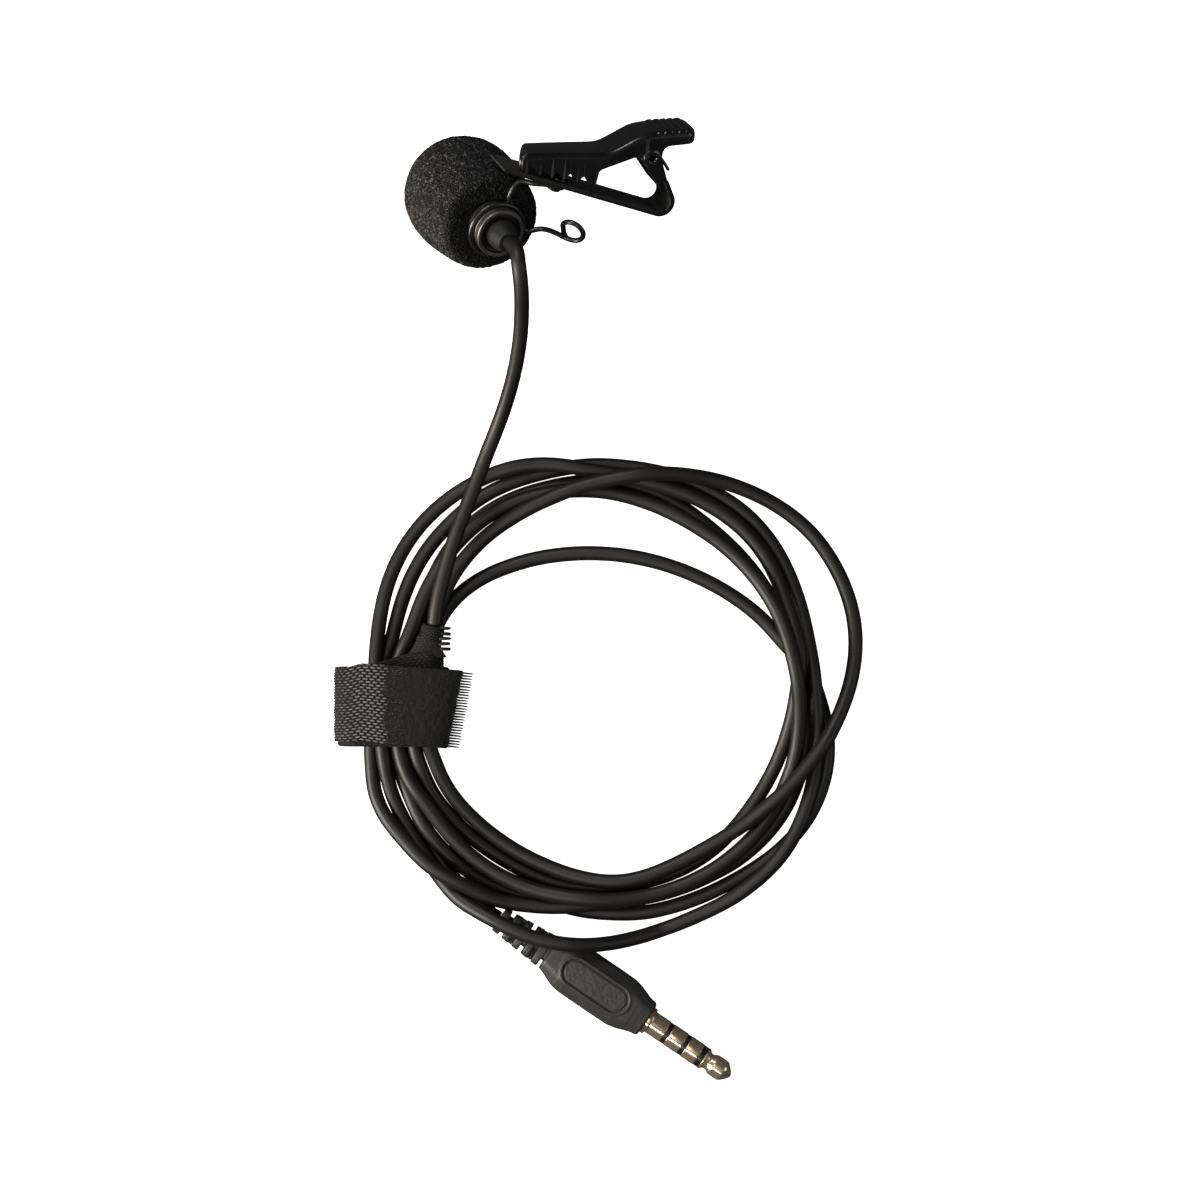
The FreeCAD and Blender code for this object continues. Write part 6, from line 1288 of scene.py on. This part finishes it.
# comb rows: root's x from the flap's edge, bristle length, root's height above z = 10.5
COMB_ROWS = ((-1.3, 1.7, 0.16), (-0.9, 1.9, 0.06), (-0.6, 2.1, -0.10), (-0.5, 2.3, -0.32),
             (-0.5, 2.2, -0.60))


def build_comb():
    """Rows of bristles along the flap's free edge."""
    lines = []
    for back, length, rise in COMB_ROWS:
        for row_y in np.arange(-21.7, -10.6, 0.40):
            y = row_y + 0.008 * rng.randn()
            edge = FLAP_EDGE_X + FLAP_SLANT * (y - FLAP_PIVOT_Y)
            root = np.array([edge + back, y + 0.25, 10.5 + rise])
            direction = (1.0, -0.13 + 0.006 * rng.randn(), -0.05 + 0.02 * rng.randn())
            lines.append((spike_line(root, direction, length * (0.98 + 0.03 * rng.randn())),
                          0.12))
    filaments("strap_hook_comb", lines, SPIKE_TAPER, 8, "strap_flap")


def build_pile():
    """Fine broken loops scattered over the flap's brushed end."""
    lines = []
    for _ in range(420):
        i = int(rng.uniform(0.62, 0.93) * (len(flap_line) - 1))
        y = rng.uniform(STRAP_Y0 + 0.1, STRAP_Y1 - 0.1)
        normal = np.array([flap_normals[i][0], 0.0, flap_normals[i][1]])
        root = np.array([flap_line[i][0], y, flap_line[i][1]]) - normal * 0.03
        direction = normal * 0.5 + rng.randn(3) * 0.6
        curl = rng.randn(3)
        lines.append((hook_line(root, direction, curl, rng.uniform(0.12, 0.26)), 0.018))
    filaments("strap_pile_fibres", lines, HOOK_TAPER, 6, "strap_flap")


def build_neck():
    """Woven sleeve round the lead."""
    segments = 140
    line = catmull(NECK, 0.1)
    _, angles, rings = cross_rings(line, segments)
    angle, run = np.meshgrid(angles, arc_lengths(line))
    height, shade = weave(angle * 1.75, run, 0.55, 0.36)
    radius = (1.66 + 0.12 * height) * (1 - 0.16 * clamp(1 - run / 0.55) ** 2)
    outside = line[:, None, :] + rings * radius[..., None]
    inside = line[::-1][:, None, :] + rings[::-1] * 1.22
    verts = np.concatenate([outside, inside], 0)
    shades = np.concatenate([bright_threads(shade) * 0.28, np.full_like(shade, 0.05)], 0)
    obj = add_mesh("strap_neck_band", verts.reshape(-1, 3),
                   grid_faces(len(verts), segments, wrap_rows=True),
                   attribute=("shade", shades.reshape(-1)))
    clean_mesh(obj, 1e-7)
    register(obj, WEBBING, "coiled_lead", ["strap_neck_loop"])


def build_neck_hooks():
    """Five rows of three bristles on the neck's +X side."""
    lines = []
    for j in range(5):
        centre = np.array([-24.75, -4.15 - 0.78 * j, 8.3])
        for k in range(3):
            root = centre + np.array([0.9, 0.04 * rng.randn(), 0.5 - 0.55 * k])
            direction = (1.0, 0.05 * rng.randn() - 0.02, 0.05)
            lines.append((spike_line(root, direction, 1.75 + 0.08 * rng.randn()), 0.19))
    filaments("strap_neck_hooks", lines, SPIKE_TAPER, 8, "coiled_lead")


def build_tongue():
    """Arched tongue that widens from the neck to the inner layer."""
    rows, columns = 40, 50
    share, across = np.meshgrid(np.arange(rows) / (rows - 1),
                                np.arange(columns) / (columns - 1) * 2 - 1, indexing="ij")
    y = -5.3 - 3.2 * share
    half_width = 1.7 + 1.5 * share * share
    height = weave(across * half_width, y, 0.6, 0.4)[0]
    crown = 9.15 + 0.25 * np.sin(share * 3.14)
    top = np.stack([-25.3 - 0.5 * share + half_width * across, y,
                    crown - 0.55 * across * across + 0.08 * height], -1)
    bottom = top - np.array([0.0, 0.0, 0.42])
    verts = np.concatenate([top, bottom[:, ::-1]], 1).reshape(-1, 3)
    obj = add_mesh("strap_tongue", verts, capped_grid(rows, 2 * columns),
                   attribute=("shade", np.full(len(verts), 0.16)))
    clean_mesh(obj, 1e-7)
    register(obj, WEBBING, "coiled_lead")


build_comb()
build_pile()
build_neck()
build_neck_hooks()
build_tongue()

# ----------------------------------------------------------------------------------------- plug
# Handle stations: place along the axis, half width, half height.
HANDLE_STATIONS = np.array([
    (-17.75, 2.62, 2.30), (-17.4, 2.75, 2.42), (-16.6, 3.02, 2.58), (-15.6, 3.45, 2.74),
    (-14.6, 3.82, 2.88), (-13.4, 3.98, 2.95), (-11.0, 4.0, 2.96), (-7.0, 4.0, 2.96),
    (-4.6, 3.96, 2.94), (-3.4, 3.72, 2.88), (-2.4, 3.36, 2.78), (-1.5, 3.02, 2.66),
    (-0.9, 2.88, 2.56), (-0.25, 2.82, 2.50), (-0.06, 2.70, 2.38), (0.0, 2.45, 2.15)])
HANDLE_SEGMENTS = 236
PANEL_X, PANEL_HALF, PANEL_RADIUS = -9.3, 5.6, 2.05  # obround panel on the handle's top


def handle_section(half_width, half_height):
    """Octagon with soft corners, walked at even spacing."""
    cut = min(1.5, half_width * 0.40)
    side, rise = half_height - cut, half_width - cut * 1.15
    corners = np.array([
        (half_width, -side), (half_width, side), (rise, half_height), (-rise, half_height),
        (-half_width, side), (-half_width, -side), (-rise, -half_height), (rise, -half_height)])
    outline = []
    for i, corner in enumerate(corners):
        back, ahead = corners[i - 1] - corner, corners[(i + 1) % len(corners)] - corner
        back_length, ahead_length = np.linalg.norm(back), np.linalg.norm(ahead)
        soft = min(0.55, back_length * 0.45, ahead_length * 0.45)
        outline += corner_curve(corner + back / back_length * soft, corner,
                                corner + ahead / ahead_length * soft, 5)
    outline = np.array(outline + [outline[0]])
    lengths = arc_lengths(outline)
    even = np.linspace(0, lengths[-1], HANDLE_SEGMENTS, endpoint=False)
    return np.stack([np.interp(even, lengths, outline[:, k]) for k in (0, 1)], -1)


def build_handle():
    places = HANDLE_STATIONS[:, 0]
    stations = np.unique(np.round(np.r_[np.arange(-17.7, 0, 0.11), places], 3))
    sizes = [np.interp(stations, places, HANDLE_STATIONS[:, k]) for k in (1, 2)]
    for size in sizes:
        for _ in range(6):  # smooths the run of the sizes
            size[1:-1] = 0.25 * size[:-2] + 0.5 * size[1:-1] + 0.25 * size[2:]
    sections = np.array([handle_section(*size) for size in zip(*sizes)])
    along = np.broadcast_to(stations[:, None, None], sections.shape[:2] + (1,))
    body = np.concatenate([along, sections], -1)
    x, y, z = body[..., 0], body[..., 1], body[..., 2]
    # distance outside the panel's outline; negative inside
    past_straight = np.maximum(np.abs(x - PANEL_X) - (PANEL_HALF - PANEL_RADIUS), 0)
    outside = np.hypot(past_straight, y) - PANEL_RADIUS
    on_top = clamp((z - 2.2) / 0.4)
    rim = 0.17 * np.exp(-((outside - 0.18) / 0.22) ** 2)
    groove = -0.26 * np.exp(-((outside + 0.20) / 0.15) ** 2)
    sunk = -0.05 * clamp((-outside - 0.1) / 0.3)
    flat = body.reshape(-1, 3)
    leather = 0.030 * value_noise(flat, 0.30, 21) + 0.022 * value_noise(flat, 0.14, 22)
    leather = leather.reshape(x.shape) * clamp((-outside - 0.25) / 0.2)
    fine = (0.008 * value_noise(flat, 0.16, 23)).reshape(x.shape)
    body[..., 2] = z + on_top * (rim + groove + sunk + leather)
    body[..., 2] += fine * np.sign(body[..., 2])
    obj = add_mesh("plug_handle", in_frame(body.reshape(-1, 3), *PLUG),
                   capped_grid(len(stations), HANDLE_SEGMENTS))
    clean_mesh(obj, 1e-7)
    return obj


BOOT_RIBS = 5
# One rib and its gap: share of the pitch, share of the way from gap to full section.
RIB_STEPS = (
    (0.0, 0.0), (0.015, 0.75), (0.05, 1.0), (0.2, 1.0), (0.4, 1.0), (0.60, 1.0), (0.645, 0.75),
    (0.66, 0.0), (0.70, 0.0), (0.8, 0.0), (0.9, 0.0), (0.985, 0.0))


def build_boot():
    """Ribbed boot that narrows from the handle to the cable."""
    front = -HANDLE_BACK
    boot_length = float(np.linalg.norm(PLUG_ORIGIN - BOOT_END)) - HANDLE_BACK
    rear = front - boot_length + 0.1
    pitch = (front - rear) / BOOT_RIBS
    stations = [(rear + i * pitch + share * pitch, i, fullness)
                for i in range(BOOT_RIBS) for share, fullness in RIB_STEPS]
    stations += [(front, BOOT_RIBS, 0.0), (front + 0.5, BOOT_RIBS, 0.0)]
    segments = 112
    angles = ring_angles(segments)
    power = 3.2  # of the superellipse section
    rows = []
    for x, i, fullness in stations:
        share = (x - rear) / (front - rear)
        half_width = 1.95 + 0.78 * share
        half_height = 1.90 + 0.55 * share
        full = 1.0 / (np.abs(np.cos(angles) / half_width) ** power
                      + np.abs(np.sin(angles) / half_height) ** power) ** (1 / power)
        core = 1.34 + 0.14 * share
        # webs join two opposite sides across each gap, turned a quarter at every gap
        turn = 0.0 if i % 2 else math.pi / 2
        web = clamp((np.abs(np.cos(angles - turn)) - 0.86) / 0.06)
        gap = core + (full - core) * 0.90 * web
        radius = gap + (full - gap) * fullness
        rows.append(np.stack([np.full(segments, x), np.cos(angles) * radius,
                              np.sin(angles) * radius], -1))
    body = np.array(rows).reshape(-1, 3)
    body[:, 1:] *= (1 + 0.004 * value_noise(body, 0.25, 31))[:, None]
    obj = add_mesh("plug_boot", in_frame(body, *PLUG), capped_grid(len(rows), segments))
    clean_mesh(obj, 1e-7)
    return obj


register(build_handle(), MOULDED, "plug", ["plug_overmould", "plug_premould"])
boot = register(build_boot(), MOULDED)
plug_cable = register(
    tube("cable_plug_end", [BOOT_END + PLUG_AXIS * s for s in np.arange(0.3, 14.0, 0.5)], 1.09),
    CABLE_PVC,
    replaces=["plug_lead_jacket", "plug_lead_shield", "plug_lead_core_insulation",
              "plug_lead_conductor"])

CONTACT_RADIUS = 1.75
TURNED_PLUG = (PLUG_ORIGIN, PLUG_SIDE, UP, PLUG_AXIS)
SLEEVE_PROFILE = [
    (1.16, 0.0), (2.15, 0.0, 0.05), (2.15, 0.5, 0.09), (1.98, 0.62, 0.06), (1.78, 0.64, 0.05),
    (CONTACT_RADIUS, 0.75, 0.05), (CONTACT_RADIUS, 3.22, 0.07), (1.6, 3.3, 0.02), (1.16, 3.3)]
TIP_PROFILE = [
    (0.0, 10.12), (1.5, 10.12), (1.66, 10.14, 0.03), (CONTACT_RADIUS, 10.2, 0.06),
    (CONTACT_RADIUS, 10.36, 0.08), (1.60, 10.58, 0.10), (1.33, 10.85, 0.25), (1.29, 11.2, 0.3),
    (1.41, 11.5, 0.3), (1.58, 11.76, 0.2), (1.66, 12.02, 0.15), (1.645, 13.6, 0.2),
    (1.5, 13.92, 0.2), (0.82, 14.62, 0.15), (0.42, 14.92, 0.12), (0.14, 15.05, 0.06),
    (0.0, 15.08)]


def ring_profile(start, end):
    return [(1.2, start), (1.62, start, 0.02), (CONTACT_RADIUS, start + 0.06, 0.07),
            (CONTACT_RADIUS, end - 0.06, 0.07), (1.62, end, 0.02), (1.2, end)]


def insulator_profile(start, end):
    return [(1.18, start), (1.7, start, 0.03), (1.70, end, 0.03), (1.18, end)]


for name, profile, node in (
    ("plug_collar_sleeve", SLEEVE_PROFILE, "plug_sleeve"),
    ("plug_contact_ring_b", ring_profile(3.92, 6.4), "plug_ring_2"),
    ("plug_contact_ring_a", ring_profile(7.02, 9.3), "plug_ring_1"),
):
    contact = lathe(name, profile, TURNED_PLUG, 128, 0.03, closed=True)
    register(contact, GOLD, "plug", [node])
for i, (start, end) in enumerate(((3.31, 3.91), (6.41, 7.01), (9.31, 10.11)), 1):
    insulator = lathe(f"plug_insulator_band_{i}", insulator_profile(start, end), TURNED_PLUG,
                      128, 0.03, closed=True)
    register(insulator, INSULATOR, "plug", [f"plug_insulator_{i}"])
register(lathe("plug_contact_tip", TIP_PROFILE, TURNED_PLUG, 128, 0.05), GOLD,
         "plug", ["plug_tip"])

# ------------------------------------------------------------ pieces that bend across the joints
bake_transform(mic_lead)
for piece in (boot, plug_cable):
    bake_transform(piece)
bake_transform(flap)

# ------------------------------------------------------- finishes of the CAD pieces in the head
# node, material name, colour, roughness, other settings
CAPSULE = (
    ("front_grille", "grille_metal", (0.12, 0.12, 0.12), 0.4, dict(metal=0.9)),
    ("grille_mesh", "mesh_metal", (0.35, 0.35, 0.36), 0.45, dict(metal=0.9, grain=(0.1, 0.6))),
    ("dust_felt", "felt_disc", (0.03, 0.03, 0.03), 0.95, dict(grain=(0.12, 0.9), sheen=0.4)),
    ("electret_can", "can_aluminium", (0.75, 0.75, 0.76), 0.35, dict(metal=1.0)),
    ("diaphragm_ring", "ring_metal", (0.6, 0.6, 0.6), 0.3, dict(metal=1.0)),
    ("diaphragm_film", "film_metallised", (0.8, 0.78, 0.6), 0.2, dict(metal=0.8)),
    ("diaphragm_spacer", "spacer_polymer", (0.85, 0.83, 0.75), 0.5, {}),
    ("backplate", "backplate_gold", (0.78, 0.6, 0.25), 0.3, dict(metal=1.0)),
    ("gate_carrier", "carrier_polymer", (0.8, 0.78, 0.7), 0.5, {}),
    ("capsule_board", "board_laminate", (0.03, 0.22, 0.10), 0.45, dict(grain=(0.2, 0.4))),
    ("transistor_chip", "chip_epoxy", (0.02, 0.02, 0.02), 0.5, {}),
    ("capsule_cradle", "cradle_rubber", (0.02, 0.02, 0.02), 0.7, {}),
)
for node, name, color, rough, settings in CAPSULE:
    material = finish(name, color, rough, **settings)
    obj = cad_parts[node]
    for slot in obj.material_slots:
        slot.material = material
    if not obj.material_slots:
        obj.data.materials.append(material)

# ------------------------------------------------------- floor, light and camera, all in metres
FLOOR_HALF = 3.0
FLOOR_Z = -0.00002


def build_floor():
    """Floor that looks near white to the camera but throws little light on the product."""
    mesh = bpy.data.meshes.new("floor")
    signs = ((-1, -1), (1, -1), (1, 1), (-1, 1))
    mesh.from_pydata([(x * FLOOR_HALF, y * FLOOR_HALF, FLOOR_Z) for x, y in signs], [],
                     [(0, 1, 2, 3)])
    floor = bpy.data.objects.new("floor", mesh)
    bpy.context.collection.objects.link(floor)
    material, tree, surface = new_material("floor_pale")
    connect(tree, surface, {"Base Color": (0.80, 0.80, 0.80, 1), "Roughness": 0.9,
                            "Specular IOR Level": 0.0})
    glow = add_node(tree, "Emission", {"Color": (1, 1, 1, 1), "Strength": 1.15})
    seen = add_node(tree, "AddShader", {0: surface.outputs[0], 1: glow.outputs[0]})
    dim = add_node(tree, "BsdfDiffuse", {"Color": (0.05, 0.05, 0.05, 1)})
    camera_ray = add_node(tree, "LightPath").outputs["Is Camera Ray"]
    mix = add_node(tree, "MixShader", {0: camera_ray, 1: dim.outputs[0], 2: seen.outputs[0]})
    connect(tree, tree.nodes["Material Output"], {"Surface": mix.outputs[0]})
    floor.data.materials.append(material)


def build_world():
    """White surround, bright only to the camera."""
    world = bpy.data.worlds.new("studio")
    bpy.context.scene.world = world
    world.use_nodes = True
    tree = world.node_tree
    camera_ray = add_node(tree, "LightPath").outputs["Is Camera Ray"]
    strength = add_node(tree, "MapRange", {"Value": camera_ray, "To Min": 0.035, "To Max": 0.95})
    connect(tree, tree.nodes["Background"], {"Strength": strength.outputs["Result"],
                                             "Color": (1, 1, 1, 1)})


def area_light(name, place, target, size, power, size_y=None, color=(1, 1, 1)):
    light = bpy.data.lights.new(name, "AREA")
    light.energy = power
    light.size = size
    light.color = color
    if size_y:
        light.shape = "RECTANGLE"
        light.size_y = size_y
    obj = bpy.data.objects.new(name, light)
    bpy.context.collection.objects.link(obj)
    obj.location = place
    obj.rotation_euler = (Vector(target) - Vector(place)).to_track_quat("-Z", "Y").to_euler()


build_floor()
build_world()
area_light("key_low_left", place=(-0.52, -0.12, 0.27), target=(0, 0.0, 0), size=0.34,
           size_y=0.34, power=5.4, color=(1.0, 0.95, 0.89))
area_light("top_soft", place=(-0.10, 0.05, 0.75), target=(0, 0, 0), size=0.4, power=0.75,
           color=(1.0, 0.97, 0.93))
area_light("rim_left_high", place=(-0.18, 0.46, 0.40), target=(0, 0.02, 0), size=0.22, power=1.1)
area_light("right_fill", place=(0.50, -0.05, 0.30), target=(0, 0, 0), size=0.30, power=0.3)
area_light("plug_soft", place=(-0.10, -0.26, 0.40), target=(0.012, -0.067, 0.003), size=0.10,
           size_y=0.04, power=0.28, color=(1.0, 0.96, 0.90))

lens = bpy.data.cameras.new("camera")
lens.sensor_width = 36.0
lens.lens = 120.0
lens.clip_start = 0.01
camera = bpy.data.objects.new("camera", lens)
bpy.context.collection.objects.link(camera)
camera.location = tuple(to_row([0.0, 0.0, 600.0]))
camera.rotation_euler = (0, 0, 0)
bpy.context.scene.camera = camera
bpy.context.scene.view_settings.view_transform = "Standard"
